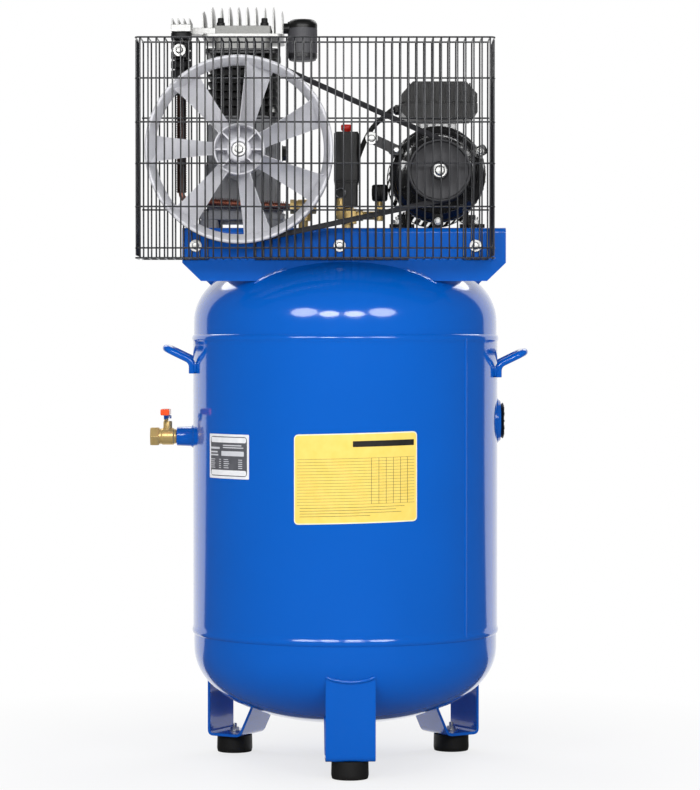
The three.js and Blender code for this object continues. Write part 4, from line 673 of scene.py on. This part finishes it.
# The V-belt runs in both grooves
BELT_TOP, BELT_BASE, BELT_DEEP = 6.5, 4.5, 8.5
BIG_LOOP, SMALL_LOOP = 154.1, 51.6  # the radii of the belt's back on the wheel and on the pulley
span = math.hypot(MOTOR_X - DRIVE_X, MOTOR_Z - DRIVE_Z)
slope, lean = math.atan2(MOTOR_Z - DRIVE_Z, MOTOR_X - DRIVE_X), math.acos((BIG_LOOP - SMALL_LOOP) / span)
section = mirrored([(0, BELT_TOP - 0.6), (0.8, BELT_TOP), (BELT_DEEP - 0.6, BELT_BASE),
                    (BELT_DEEP, BELT_BASE - 0.6)], 1)
belt = []
for x, z, r, start, end, steps in (
        (DRIVE_X, DRIVE_Z, BIG_LOOP, slope + lean, slope + math.tau - lean, 96),
        (MOTOR_X, MOTOR_Z, SMALL_LOOP, slope - lean, slope + lean, 40)):
    for a in (start + (end - start) * k / steps for k in range(steps + 1)):
        belt.append([(x + (r - deep) * math.cos(a), DRIVE_Y + y, z + (r - deep) * math.sin(a))
                     for deep, y in section])
put("drive_belt", [loft(belt, wrap=True)], BELT_RUBBER, replaces="v_belt", sharp=35)

# Pump
PUMP = (DRIVE_X, 0, 0)
CASE_FRONT, CASE_BACK = -105, 95
case_outline = mirrored([(70, 919.3), (70, 931.3), (58, 934), (58, 1076), (44, 1094)], 0)
case_outline = soften(case_outline, 5, 3, True)
crankcase = [at(prism(case_outline, 0, CASE_BACK - CASE_FRONT), (0, CASE_BACK, 0), "front"),
             at(prism(rounded(62, 14, 6), 0, CASE_BACK - CASE_FRONT - 6), (0, CASE_BACK - 3, 1000), "front")]
for side in (-1, 1):  # the feet, and the ribs cast on the flanks
    crankcase += [at(prism(rounded(15, 17, 5), 904.3, 920), (side * 55, y, 0)) for y in (-88, 78)]
    crankcase += [block((57 * side - 3, 57 * side + 4), (y - 2.5, y + 2.5), (931, 1068))
                  for y in (-70, -23, 24, 71)]
put("crankcase_casting", crankcase, GREY_IRON, replaces="crankcase", place=PUMP,
    bevel=2.2, sharp=40)
put("oil_filler", [hexagon(22, 0, 9), washer(14, 2)], BLACK_ABS,
    place=(DRIVE_X + 64, 40, 1040), towards="right", bevel=0.5)
put("crankcase_bolts", [at(f, (x, y, 931.3)) for x in (-64, 64) for y in (-82, 72)
                        for f in (washer(5.6, 1.2), hexagon(9, 1.2, 7))], ZINC, place=PUMP)
CASE_FACE = (DRIVE_X, CASE_FRONT - 0.3, DRIVE_Z)
cover_line = soften([(46, 0), (46, 12), (30, 12), (26, 15), (26, 26), (12.8, 26)], 1.8, 3)
cover_line = [(12.8, 0), *cover_line, (12.8, 0)]
put("bearing_cover", [turn(cover_line, 72)], GREY_IRON, replaces="crankcase_cover",
    place=CASE_FACE, towards="front", sharp=35)
put("cover_bolts", [at(hexagon(8, 0, 4.6), (x, y, 12)) for x, y in arc(
    0, 0, 38, math.radians(30), math.radians(330), 5)], ZINC, place=CASE_FACE, towards="front")

block_forms = [prism(rounded(46, 78, 20, 6), 1094.3, 1199), prism(rounded(56, 88, 16, 5), 1094.3, 1099)]
block_forms += [prism(rounded(58.5, 92, 18, 6), z, z + 3.3) for z in (1097.8 + i * 12.8 for i in range(8))]
put("finned_block", block_forms, BLACK_IRON, replaces="cylinder_block", place=PUMP, bevel=0.8,
    sharp=40)
put("block_nuts", [at(f, (x, y, 1101.2)) for x in (-50, 50) for y in (-80, 80)
                   for f in (hexagon(9, 0, 6), rod(3, 6, 9, 16))], ZINC, place=PUMP)
plates = (((61.5, 94), 1199.3, 1203.2), ((60, 92.5), 1203.2, 1204.1), ((61.5, 94), 1204.1, 1207.8))
put("reed_valve_plate", [prism(rounded(*half, 14, 5), low, high) for half, low, high in plates], MATT_BLACK,
    replaces="valve_plate", place=PUMP, bevel=0.5, sharp=40)

HEAD_Z, SLAB_Z, UPPER_Z, BOSS_TOP, HEAD_TOP = 1208.1, 1228.1, 1233.1, 1243.5, 1284
FIN_COUNT, HEAD_FIN_PITCH, BOLT_FINS, BOLT_Y = 10, 14.75, (2, 7), 63
# The head's core, in the darker alloy that stands for painted shade under the slab and between the fins
put("head_core",
    [prism(rounded(46, 82, 14, 5), HEAD_Z, SLAB_Z + 2), prism(rounded(48, 80, 3, 3), UPPER_Z - 1, 1247)],
    SHADED_CORE_ALLOY, place=PUMP, bevel=0.8, sharp=40)


def cast_fin(x, half_length, root, top, foot=1.7, tip=0.8):
    """A cast fin that thins from its root to a round tip and slopes down to its two ends."""
    rings = []
    for y, drop in ((half_length, 9), (half_length * 0.35, 0), (-half_length * 0.35, 0), (-half_length, 9)):
        outline = mirrored([(foot, root), (tip, top - drop - 1.4), (tip / 2, top - drop)], 0)
        rings.append([(x + dx, y, z) for dx, z in outline])
    return loft(rings)


head_forms, bolt_places = [prism(rounded(68, 87, 14, 5), SLAB_Z, UPPER_Z)], []
for i in range(FIN_COUNT):
    x = (i - (FIN_COUNT - 1) / 2) * HEAD_FIN_PITCH
    head_forms.append(cast_fin(x, 47 if i in BOLT_FINS else 78, UPPER_Z + 8 if abs(x) < 46 else SLAB_Z + 1,
                               HEAD_TOP - (7 if i in (0, FIN_COUNT - 1) else 0)))
    bolt_places += [(x, -BOLT_Y), (x, BOLT_Y)] if i in BOLT_FINS else []
head_forms += [at(turn([(0, 1230), (12, 1230), (11, 1242), (10, BOSS_TOP), (0, BOSS_TOP)], 32), (*place, 0))
               for place in bolt_places]
put("finned_head", head_forms, BRIGHT_ALLOY, replaces="cylinder_head", place=PUMP, bevel=0.5,
    sharp=40)
cap_line = [(0, 1.6), (7.2, 1.6), (7.0, 9), (5.4, 11), (5.2, 16.4), (4.4, 17.6), (0, 17.8)]
put("head_bolts",
    [at(f, (*place, BOSS_TOP)) for place in bolt_places for f in (washer(9, 1.6), turn(cap_line, 36))],
    BLACK_IRON, place=PUMP, bevel=0.3)
arm_forms = [block((-116.5, -45), (-82, -41), (1231, 1243)),
             block((-116.5, -83.5), (-137, -78), (1231, 1243))]
arm_forms += [block((x - 1, x + 1), (-136, -48), (1242, 1253)) for x in (-114.25, -104.75, -95.25, -85.75)]
put("discharge_arm", arm_forms, BRIGHT_ALLOY, place=PUMP, bevel=0.8, sharp=40)

# Intake filter: a ribbed drum with a crown, a band and a pale lip
FILTER = (-72.4, -40, 0)
put("filter_drum",
    [rod(24.4, 1203.5, 1246, 72), *around(block((23.6, 25), (-0.55, 0.55), (1205, 1244.5)), 48)], GREY_ABS,
    replaces="air_filter", place=FILTER, sharp=40)
crown_line = [(0, 1246), (25, 1246), (25, 1252), *arc(15, 1251, 10, 0, QUARTER, 6), (9, 1261), (7.5, 1259.4),
              (0, 1259.4)]
inlet_line = [(9, 0), (9, 22), (11.5, 22), (11.5, 25), (9, 25), (9, 32)]
put("filter_crown", [turn(crown_line), at(solid(inlet_line, 36), (0, 0, 1246), "left")], BLACK_ABS,
    place=FILTER, sharp=35)
put("filter_band", [rod(25, 1195.6, 1203.5, 64)], MATT_BLACK, place=FILTER, bevel=0.6)
put("filter_lip", [solid([(19, 1191), (22.6, 1192.4), (23, 1195.6)], 64)], GREY_ABS,
    place=FILTER, sharp=35)

COOLER = COOLER_X, COOLER_Y = (-273, -120)
STACK_TOP, DISC_PITCH, DISC_EDGE, DISC_ROUND = 1230.7, 15.8, 15.6, 1.9
BEND, BEND_Z, FIN_PITCH, FIN_EDGE = 14, 964, 3.0, 8.6


def disc_edge(z, *angles):
    """Points on the rounded edge of a disc, at angles from straight up."""
    return [(DISC_EDGE + DISC_ROUND * math.sin(a), z + DISC_ROUND * math.cos(a)) for a in angles]


stack = [(0, STACK_TOP)]
for top in (STACK_TOP - i * DISC_PITCH for i in range(5)):
    stack += [(11, top), (DISC_EDGE, top), *disc_edge(top - 1.9, 0.5, 1.1, QUARTER),
              *disc_edge(top - 10.7, QUARTER, 2.1, 2.7), (DISC_EDGE, top - 12.6), (11, top - 12.6)]
stack += [(11, 1151.7), (11.5, 1148), (9, 1141), (9, 1126.4), (8.2, 1125.7), (0, 1125.7)]
put("discharge_stack", [turn(stack[::-1], 48)], BLACK_IRON, replaces="discharge_cooler",
    place=(*COOLER, 0), sharp=40)


def finned_pipe(start, end, root):
    """A copper pipe with a wound fin strip on it, drawn as close rings that start at that radius."""
    start, end = Vector(start), Vector(end)
    length = (end - start).length
    line, z = [(0, 0), (root, 0)], FIN_PITCH
    while z < length - 1:
        line += [(root, z - 0.9), (FIN_EDGE, z - 0.6), (FIN_EDGE, z + 0.3), (root, z + 0.6)]
        z += FIN_PITCH
    move = Matrix.Translation(start) @ (end - start).to_track_quat("Z", "Y").to_matrix().to_4x4()
    verts, faces = turn([*line, (root, length), (0, length)], 20)
    return [move @ v for v in verts], faces


elbow = [(COOLER_X, COOLER_Y, BEND_Z + 2),
         *[(x, COOLER_Y, z) for x, z in arc(COOLER_X + BEND, BEND_Z, BEND, math.pi, math.pi * 1.5, 8)],
         (COOLER_X + 17, COOLER_Y, 949.8)]
put("finned_down_pipe", [finned_pipe((*COOLER, 1125.4), (*COOLER, BEND_Z), 7.6)], SCORCHED_COPPER,
    sharp=50)
put("finned_copper_pipe", [tube(elbow, 5, 20),
                           finned_pipe((COOLER_X + BEND, COOLER_Y, 950), (-98, COOLER_Y, 941.2), 5.6),
                           tube([(-99, COOLER_Y, 941.3), (-92.3, COOLER_Y, 941)], 5, 20)], COPPER,
    replaces="cooler_pipe", sharp=50)

check_line = mirrored([(9.4, -22), (10.4, -21), (10.4, -10), (12, -8.5)], 1)
put("non_return_valve",
    [*[at(f, towards="right") for f in (solid(check_line, 40), hexagon(21, -21.9, -11, 0.6),
                                        hexagon(21, 11, 21.6))],
     rod(8, -170, 0), hexagon(24, -24, -7)], BRASS, replaces="check_valve", place=(-70, -120, 941),
    bevel=0.3, sharp=28)

# Manifold and controls
MANIFOLD = (4, -80)
SAFETY = (-8, -118)
REGULATOR = (58, -80)
SWITCH = (2, -77, 0)
PORTS_Z = 928
safety_line = [(7.8, -8), (8.6, -6.5), (8.6, 7), (6, 9.5), (6, 24.6), (5.2, 27), (1.8, 27), (1.8, 18)]
regulator_line = [(9, -9), (9, 6), (6.4, 9), (5, 10.5), (5, 23.6)]
put("brass_manifold", [
    at(rod(10, 760, 942.7), (*MANIFOLD, 0)), at(prism(rounded(15, 15, 2.5, 3), 914, 939), (*MANIFOLD, 0)),
    at(rod(7, 0, 40, 28), (SAFETY[0], MANIFOLD[1] - 4, PORTS_Z), "front"),
    at(hexagon(17, 26, 34, 0.6), (SAFETY[0], MANIFOLD[1] + 6, PORTS_Z), "front"),
    *[at(f, (*SAFETY, PORTS_Z)) for f in (solid(safety_line), hexagon(13.5, 10, 16, 0.5))],
    *[at(f, (*MANIFOLD, PORTS_Z), "right") for f in (rod(7, 0, 60, 28), hexagon(16, 16, 26, 0.6))],
    *[at(f, (*REGULATOR, PORTS_Z)) for f in (solid(regulator_line), hexagon(14.5, 9, 15, 0.5))]], BRASS,
    replaces="manifold", bevel=0.3, sharp=28)
put("pull_ring", [tube([(x, SAFETY[1], z) for x, z in circle(8, 40, SAFETY[0], 964)], 1, 10, closed=True),
                  tube([(*SAFETY, 950), (*SAFETY, 957)], 1.4, 12)], STEEL, "safety_valve_ring",
    replaces="safety_valve_ring")
knob = []
for z, radius in ((952, 11.2), (955, 13.2), (963, 13.8), (972, 13.8), (978, 13.2), (979.6, 11.5)):
    grooved = [radius - (0.9 if 953 < z < 979 and k % 4 < 2 else 0) for k in range(72)]
    knob.append([(r * x, r * y, z) for r, (x, y) in zip(grooved, circle(1, 72))])
put("regulator_handwheel", [loft(knob)], BLACK_ABS, "regulator_knob",
    replaces="regulator_knob", place=(*REGULATOR, 0), bevel=0.3, sharp=40)

put("switch_base", [prism(rounded(19, 33, 4, 4), 943, 985), prism(rounded(20.4, 34.4, 4.5, 4), 981, 985),
                    *[at(f, (10, 35, 972), "back") for f in (
                        solid([(9, 0), (9, 7), (8, 12)], 28), hexagon(17, 2, 8, 0.6))]],
    BLACK_ABS, replaces="switch_body", place=SWITCH, bevel=0.8, sharp=40)
put("switch_cover",
    [prism(rounded(21, 35, 5, 5), 985, 1064.5), prism(rounded(19.4, 33.4, 5, 5), 1064.5, 1067),
     at(turn([(9.9, 0), (13, 0), (12.6, 0.8), (9.9, 0.8), (9.9, 0)], 40), (0, 0, 1067))], BLACK_ABS,
    place=SWITCH, bevel=1.2, sharp=40)
put("on_off_knob",
    [turn([(0, 1061), (6, 1061), (6, 1069), (8.8, 1071.5), (9.5, 1073), (9.5, 1079), (8.4, 1080.7),
           (5, 1081), (0, 1080.6)], 48)], RED_ABS, "switch_knob", replaces="switch_knob",
    place=SWITCH, sharp=50)

# Motor
FRAME_FRONT, FRAME_BACK = -118, 82
MOTOR_FINS, FIN_ROOT, FIN_TIP = 40, 75.5, 81
fin_outline = []
for i in range(MOTOR_FINS):
    for share, radius in ((-0.30, FIN_ROOT), (-0.17, FIN_TIP), (0.17, FIN_TIP), (0.30, FIN_ROOT)):
        angle = (i + share) * math.tau / MOTOR_FINS
        fin_outline.append((radius * math.cos(angle), radius * math.sin(angle)))
motor_forms = [at(prism(fin_outline, 0, FRAME_BACK - FRAME_FRONT), (0, FRAME_BACK, MOTOR_Z), "front"),
               block((-34, 34), (-50, 20), (1060, 1084.7))]
for side in (-1, 1):
    motor_forms += [block(sorted((side * 38, side * 80)), (-93, 57), (904.3, 913.3)),
                    block((side * 48 - 5, side * 48 + 5), (-93, 57), (904.3, 958)),
                    *[block(sorted((side * 49, side * 66)), (y - 2, y + 2), (912, 930)) for y in (-60, 24)]]
put("finned_motor_frame", motor_forms, BLACK_COAT, replaces="motor_frame",
    place=(MOTOR_X, 0, 0), bevel=0.7, sharp=35)
foot_screw = (washer(9, 1.6), hexagon(13, 1.6, 8.6), turn([(0, 8), (4, 8), (4, 12.5), (0, 13)], 20))
put("motor_foot_bolts", [at(f, (x, y, 913.3)) for x in (-66, 66) for y in (-76, 40) for f in foot_screw],
    ZINC, place=(MOTOR_X, 0, 0))
shield_line = [(12.8, 0), (80, 0), (80, 8), (78.5, 10), (76, 10.4), (74.8, 13), (70, 18.5), (66, 20.5),
               (64.4, 19), (60, 19.4), (52, 21.4), (50.6, 23.4), (48.4, 23.6), (46.8, 21.8), (38, 23),
               (31.5, 24), (30, 26), (30, 30.4), (28.6, 32), (20, 32), (18.5, 30.6), (12.8, 30.6), (12.8, 0)]
SHIELD, EAR_TOP = (MOTOR_X, FRAME_FRONT - 0.3, MOTOR_Z), 23.6
lugs = [(angle, (LUG_REACH * math.cos(angle), LUG_REACH * math.sin(angle))) for angle in LUG_ANGLES]
ears = [at(prism(rounded(12, 9, 7, 5), 0, EAR_TOP), (*place, 0), spin=angle) for angle, place in lugs]
put("motor_end_shield",
    [turn(shield_line, 120), *ears, *around(block((31, 64), (-1.4, 1.4), (18, 22)), 8, 0.5)], BLACK_COAT,
    replaces="motor_front_shield", place=SHIELD, towards="front", bevel=0.6, sharp=38)
put("shield_screws", [at(f, (*place, EAR_TOP)) for angle, place in lugs[::2] for f in (
    washer(6.4, 1.2), hexagon(9, 1.2, 6.2))], ZINC, place=SHIELD, towards="front")
COWL = (MOTOR_X, 82.3, MOTOR_Z)
cowl_line = [(60, 0), (82, 0), *arc(68, 48, 14, 0, QUARTER, 7), (64, 62), (63, 60), (60, 57), (60, 0)]
cowl_rings = [tube([(x, y, 60) for x, y in circle(r, 64)], 1.6, closed=True)
              for r in (14, 22, 30, 38, 46, 54, 61)]
cowl_spokes = [tube([(x * 6, y * 6, 59.4), (x * 64, y * 64, 59.4)], 1.8) for x, y in circle(1, 6)]
put("fan_cowl", [turn(cowl_line, 96), *cowl_rings, *cowl_spokes,
                 turn([(0, 57), (9, 57), (9, 60), (7.6, 61.5), (0, 61.8)], 36)], BLACK_COAT,
    replaces="motor_fan_cowl", place=COWL, towards="back", sharp=35)
put("cooling_fan", [rod(60, 20, 50, 64)], MATT_BLACK, place=COWL, towards="back")

BOX_X, BOX_HALF, BOX_LOW, BOX_TOP, BOX_FRONT, BOX_BACK = 159, 65, 1091, 1156, -67, 37
BOX_SEAM, BOX_CORNER, BOX_SHOULDER, BOX_CHAMFER = 1119, 20, 22, 12


def box_ring(low, high, inset):
    """The terminal box's outline between two heights, inset all round, with the box's own corners cut."""
    wide = BOX_HALF - inset
    half = [(BOX_HALF - BOX_CHAMFER, low), (wide, low + BOX_CHAMFER)] if low == BOX_LOW else [(wide, low)]
    half += [(wide, BOX_TOP - BOX_SHOULDER), (BOX_HALF - BOX_CORNER, BOX_TOP - inset)] if high == BOX_TOP \
        else [(wide, high)]
    deep = BOX_BACK - BOX_FRONT - 2 * inset
    return at(prism(mirrored(half, 0), 0, deep), (0, BOX_BACK - inset, 0), "front")


flutes = [-BOX_HALF + 14 + i * (BOX_HALF - 14) / 6 for i in range(13)]
gland_line = [(9, 0), (9, 4), (7.6, 5), (7.6, 9.4), (6, 12)]
put("terminal_enclosure", [
    box_ring(BOX_LOW, BOX_SEAM - 1, 0.8), box_ring(BOX_SEAM - 3, BOX_SEAM + 3, 4.2),
    box_ring(BOX_SEAM + 1, BOX_TOP, 1.2),
    *[block((x - 1.3, x + 1.3), (BOX_FRONT, BOX_FRONT + 3), (BOX_SEAM + 4, BOX_TOP - 4)) for x in flutes],
    *[at(f, (-BOX_HALF, -20, 1110), "left") for f in (solid(gland_line), hexagon(15.4, 4.4, 9.4, 0.5))]],
    BLACK_ABS, replaces="terminal_box", place=(BOX_X, 0, 0), bevel=0.9, sharp=38)
CABLE_DIAMETER = 8.5
cable_path = curve([(81.7, -20, 1110), (79, -20, 1109.6), (64, -20, 1097), (45, -23, 1078), (30, -26, 1050),
                    (18, -27, 1016), (12.5, -26, 990), (12, -28.7, 972.4), (12, -29.7, 972)], 10)
cable = put("switch_cable", [tube(cable_path, CABLE_DIAMETER / 2, 20)], FOOT_RUBBER,
    replaces="motor_cable")


# Printed plates on the tank
def printed_film(name, colour, second, roughness):
    """Printed vinyl film: a flat, even ink with a slight mottle and a clear gloss layer."""
    material, tree, surface = finish(name, 0.0, roughness, IOR=1.46, Coat_Weight=0.3, Coat_Roughness=0.1)
    tree.links.new(between(tree, grain(tree, 14, 2), 0.3, 0.7, colour, second), surface.inputs["Base Color"])
    relief(tree, surface, grain(tree, 5, 2), 0.02, 0.3)
    return material


YELLOW_FILM = printed_film("yellow_printed_vinyl", "#f6d564", "#f9db70", 0.35)
CREAM_FILM = printed_film("cream_vinyl_edge", "#f1ecc4", "#f8f4d4", 0.35)
WHITE_FILM = printed_film("white_printed_vinyl", "#e9eaee", "#f6f6f8", 0.35)
GREY_FILM = printed_film("grey_printed_vinyl", "#55565c", "#626369", 0.35)
DARK_INK = printed_film("dark_printing_ink", "#3a3a30", "#48473a", 0.4)
BLACK_INK = printed_film("black_printing_ink", "#1c1b17", "#242320", 0.4)
PALE_INK = printed_film("pale_printing_ink", "#cfd0d6", "#dadbe0", 0.4)
FILM_THICK = 0.25


def film(left, right, low, high, lift, corner=0.0, lean=0.0):
    """A patch of film on the shell: left and right are degrees from the front, low and high are heights."""
    radius = TANK_RADIUS + lift
    half_x, half_z = math.radians((right - left) / 2) * radius, (high - low) / 2
    columns = max(2, int(half_x * 2 / 6))
    places = [half_x * (2 * k / columns - 1) for k in range(columns + 1)]
    if corner:  # closer columns at the round corners
        extra = [half_x - corner * (1 - math.sin(QUARTER * k / 5)) for k in range(6)]
        places = sorted({round(x, 4) for x in places if abs(x) < half_x - corner}
                        | {round(x * side, 4) for x in extra for side in (1, -1)})
    rings = []
    for x in places:
        inset = max(0.0, abs(x) - (half_x - corner))
        z = half_z - corner + math.sqrt(max(0.0, corner ** 2 - inset ** 2))
        angle = math.radians((left + right) / 2) + x / radius
        middle = (low + high) / 2 + math.tan(math.radians(lean)) * angle * radius
        rings.append([((radius + depth) * math.sin(angle), -(radius + depth) * math.cos(angle), middle + rise)
                      for depth, rise in ((0, z), (0, -z), (-FILM_THICK, -z), (-FILM_THICK, z))])
    return loft(rings)


# The service table: a yellow film with a cream edge, a plain dark band and bare ruled lines
LEAN = 1.5
TABLE_LEFT, TABLE_RIGHT, TABLE_LOW, TABLE_HIGH = -18.7, 26.7, 420, 567
RULES_LEFT, RULES_RIGHT, RULES_LOW, RULES_HIGH, RULE_ROWS = -17.6, 25.6, 451.5, 526, 15
put("service_table_edge", [film(TABLE_LEFT, TABLE_RIGHT, TABLE_LOW, TABLE_HIGH, 0.5, 7, LEAN)], CREAM_FILM,
    sharp=60)
put("service_table",
    [film(TABLE_LEFT + 0.4, TABLE_RIGHT - 0.4, TABLE_LOW + 2, TABLE_HIGH - 2, 0.65, 5.5, LEAN)],
    YELLOW_FILM, sharp=60)
rules = [(RULES_LEFT, RULES_RIGHT, z - 0.2, z + 0.2)
         for z in (RULES_LOW + (RULES_HIGH - RULES_LOW) * i / RULE_ROWS for i in range(RULE_ROWS + 1))]
rules += [(angle - 0.06, angle + 0.06, RULES_LOW, RULES_HIGH)
          for angle in (9.4 + (RULES_RIGHT - 9.4) * i / 6 for i in range(6))]
rules += [(RULES_LEFT + 1, RULES_LEFT + 1 + (RULES_RIGHT - RULES_LEFT - 2) * share, z - 0.3, z + 0.3)
          for share, z in ((0.93, 446.5), (0.85, 441.9), (0.9, 437.3), (0.62, 432.7))]
put("service_table_rules", [film(*rule, 0.8, 0, LEAN) for rule in rules], DARK_INK, sharp=60)
put("service_table_band", [film(2.7, 25.4, 544.4, 554, 0.8, 0, LEAN)], BLACK_INK, sharp=60)

# The data plate: white bands over and under a grey field, with a round-cornered outline and bare boxes
PLATE_LEFT, PLATE_RIGHT, PLATE_LOW, PLATE_HIGH = -60.1, -37.4, 489.5, 563
put("data_plate", [film(PLATE_LEFT, PLATE_RIGHT, PLATE_LOW, PLATE_HIGH, 0.5, 1.5)], WHITE_FILM, sharp=60)
put("data_plate_outline", [film(PLATE_LEFT + 1, PLATE_RIGHT - 0.9, PLATE_LOW + 4, PLATE_HIGH - 4, 0.62, 6)],
    GREY_FILM, sharp=60)
put("data_plate_bands", [film(PLATE_LEFT + 1.4, PLATE_RIGHT - 1.3, low, low + 8.6, 0.74, 3)
                         for low in (PLATE_HIGH - 14, PLATE_LOW + 5.4)], WHITE_FILM, sharp=60)
boxes = [(-59, -53, 538, 541.4), (-59, -54.4, 532, 534.4), (-59, -54, 527, 529.4), (-51, -41, 543.6, 545.4),
         (-51, -40, 540, 541.6)]
for i in range(5):
    boxes += [(left, right, 520.4 - i * 3.4, 521.6 - i * 3.4) for left, right in (
        (-59, -56 - (i % 2) * 0.4), (-53.4, -52.2), (-50.6, -48 + (i % 3) * 0.3), (-42.6, -40.6))]
put("data_plate_boxes", [film(-52, -39.8, 527, 535, 0.74, 0.8), *[film(*box, 0.74) for box in boxes]],
    PALE_INK, sharp=60)


# Floor, backdrop and lights
FLOOR_HALF, WALL_DISTANCE, WALL_HALF, WALL_HEIGHT = 14, 9, 11.2, 14
ROOM_LEVEL, ROOM_SHINE = 0.55, 0.08  # the room's light, and how little of it shows in a gloss in front
SHADOW_SHARE, SHADOW_FADE = 0.3, (0.5, 1.1)  # how much of the paper's shading shows, and where it fades out
FLOOR_Z = -0.0005


def calc(tree, operation, first, second=0.0):
    """What a sum on one or two values comes to."""
    return add(tree, "ShaderNodeMath", {0: first, 1: second}, operation=operation).outputs[0]


def studio_white(name, otherwise, shadow_share=0.0):
    """A studio surface: plain white to the camera and in reflections, and otherwise what is given."""
    material = bpy.data.materials.new(name)
    material.use_nodes = True
    tree = material.node_tree
    tree.nodes.clear()
    rays = add(tree, "ShaderNodeLightPath").outputs
    white = add(tree, "ShaderNodeEmission", {"Color": srgb("#ffffff"), "Strength": 1.0})
    dull = add(tree, "ShaderNodeBsdfDiffuse", {"Color": srgb("#f4f4f4")})
    if shadow_share:  # the paper's own shading fades out away from the object, and only its rear is lit up
        place = add(tree, "ShaderNodeTexCoord").outputs["Object"]
        axes = add(tree, "ShaderNodeSeparateXYZ", {0: place}).outputs
        aside = calc(tree, "MULTIPLY", calc(tree, "ABSOLUTE", axes["X"]), WALL_DISTANCE / WALL_HALF)
        shine = spread(tree, calc(tree, "GREATER_THAN", axes["Y"], aside), ROOM_SHINE, 1.0)
        tree.links.new(spread(tree, rays["Is Glossy Ray"], 1.0, shine), white.inputs["Strength"])
        away = add(tree, "ShaderNodeVectorMath", {0: place}, operation="LENGTH").outputs["Value"]
        faded = spread(tree, away, shadow_share, 0.0, *SHADOW_FADE)
        shadow_share = spread(tree, rays["Is Glossy Ray"], faded, 0.0)
    seen = add(tree, "ShaderNodeMixShader", {0: shadow_share, 1: white.outputs[0], 2: dull.outputs[0]})
    looks = calc(tree, "MAXIMUM", rays["Is Camera Ray"], rays["Is Glossy Ray"])
    looks = calc(tree, "MAXIMUM", looks, rays["Is Transmission Ray"])
    plain = add(tree, otherwise)
    whole = add(tree, "ShaderNodeMixShader", {0: looks, 1: plain.outputs[0], 2: seen.outputs[0]})
    add(tree, "ShaderNodeOutputMaterial", {"Surface": whole.outputs[0]})
    return material


def studio_sheet(name, corners, material):
    mesh = bpy.data.meshes.new(name)
    mesh.from_pydata([Vector(c) for c in corners], [], [(0, 1, 2, 3)])
    mesh.materials.append(material)
    sheet = bpy.data.objects.new(name, mesh)
    bpy.context.collection.objects.link(sheet)


studio_sheet("studio_floor", [(x * FLOOR_HALF, y * FLOOR_HALF, FLOOR_Z) for x, y in (
    (-1, -1), (1, -1), (1, 1), (-1, 1))],
    studio_white("white_floor_paper", "ShaderNodeBsdfDiffuse", SHADOW_SHARE))
studio_sheet("studio_wall", [(x * WALL_HALF, WALL_DISTANCE, z) for x, z in (
    (-1, 0), (1, 0), (1, WALL_HEIGHT), (-1, WALL_HEIGHT))],
    studio_white("white_wall_paper", "ShaderNodeBsdfTransparent"))

world = bpy.data.worlds.new("studio")
bpy.context.scene.world = world
world.use_nodes = True
tree = world.node_tree
tree.nodes.clear()
rays = add(tree, "ShaderNodeLightPath").outputs
dim = spread(tree, rays["Is Glossy Ray"], ROOM_LEVEL, ROOM_SHINE)
level = spread(tree, calc(tree, "MAXIMUM", rays["Is Camera Ray"], rays["Is Transmission Ray"]), dim, 1.0)
room = add(tree, "ShaderNodeBackground", {"Color": srgb("#ffffff"), "Strength": level})
add(tree, "ShaderNodeOutputWorld", {"Surface": room.outputs[0]})

TARGET = Vector((AXIS.x, AXIS.y, 0.757))


def softbox(name, azimuth, elevation, distance, width, height, power):
    """A softbox that faces the tank. Azimuth is in degrees to the right of the camera's side."""
    a, e = math.radians(azimuth), math.radians(elevation)
    towards = Vector((math.sin(a) * math.cos(e), -math.cos(a) * math.cos(e), math.sin(e)))
    data = bpy.data.lights.new(name, "AREA")
    data.shape, data.size, data.size_y, data.energy = "ELLIPSE", width, height, power
    lamp = bpy.data.objects.new(name, data)
    lamp.location = TARGET + towards * distance
    lamp.rotation_euler = towards.to_track_quat("Z", "Y").to_euler()
    lamp.visible_camera = False
    bpy.context.collection.objects.link(lamp)


softbox("left_softbox", -30.5, 18, 3.0, 1.0, 0.9, 17)
softbox("left_centre_softbox", -11.6, 15, 3.0, 0.75, 0.62, 13)
softbox("right_centre_softbox", 6.7, 15, 3.0, 0.75, 0.62, 13)
softbox("right_softbox", 27.4, 18, 3.0, 1.0, 0.9, 17)
softbox("rear_left_softbox", -145, 40, 3.5, 1.6, 1.6, 22)
softbox("rear_right_softbox", 145, 40, 3.5, 1.6, 1.6, 22)

bpy.context.scene.view_settings.view_transform = "Standard"

bpy.context.view_layer.update()
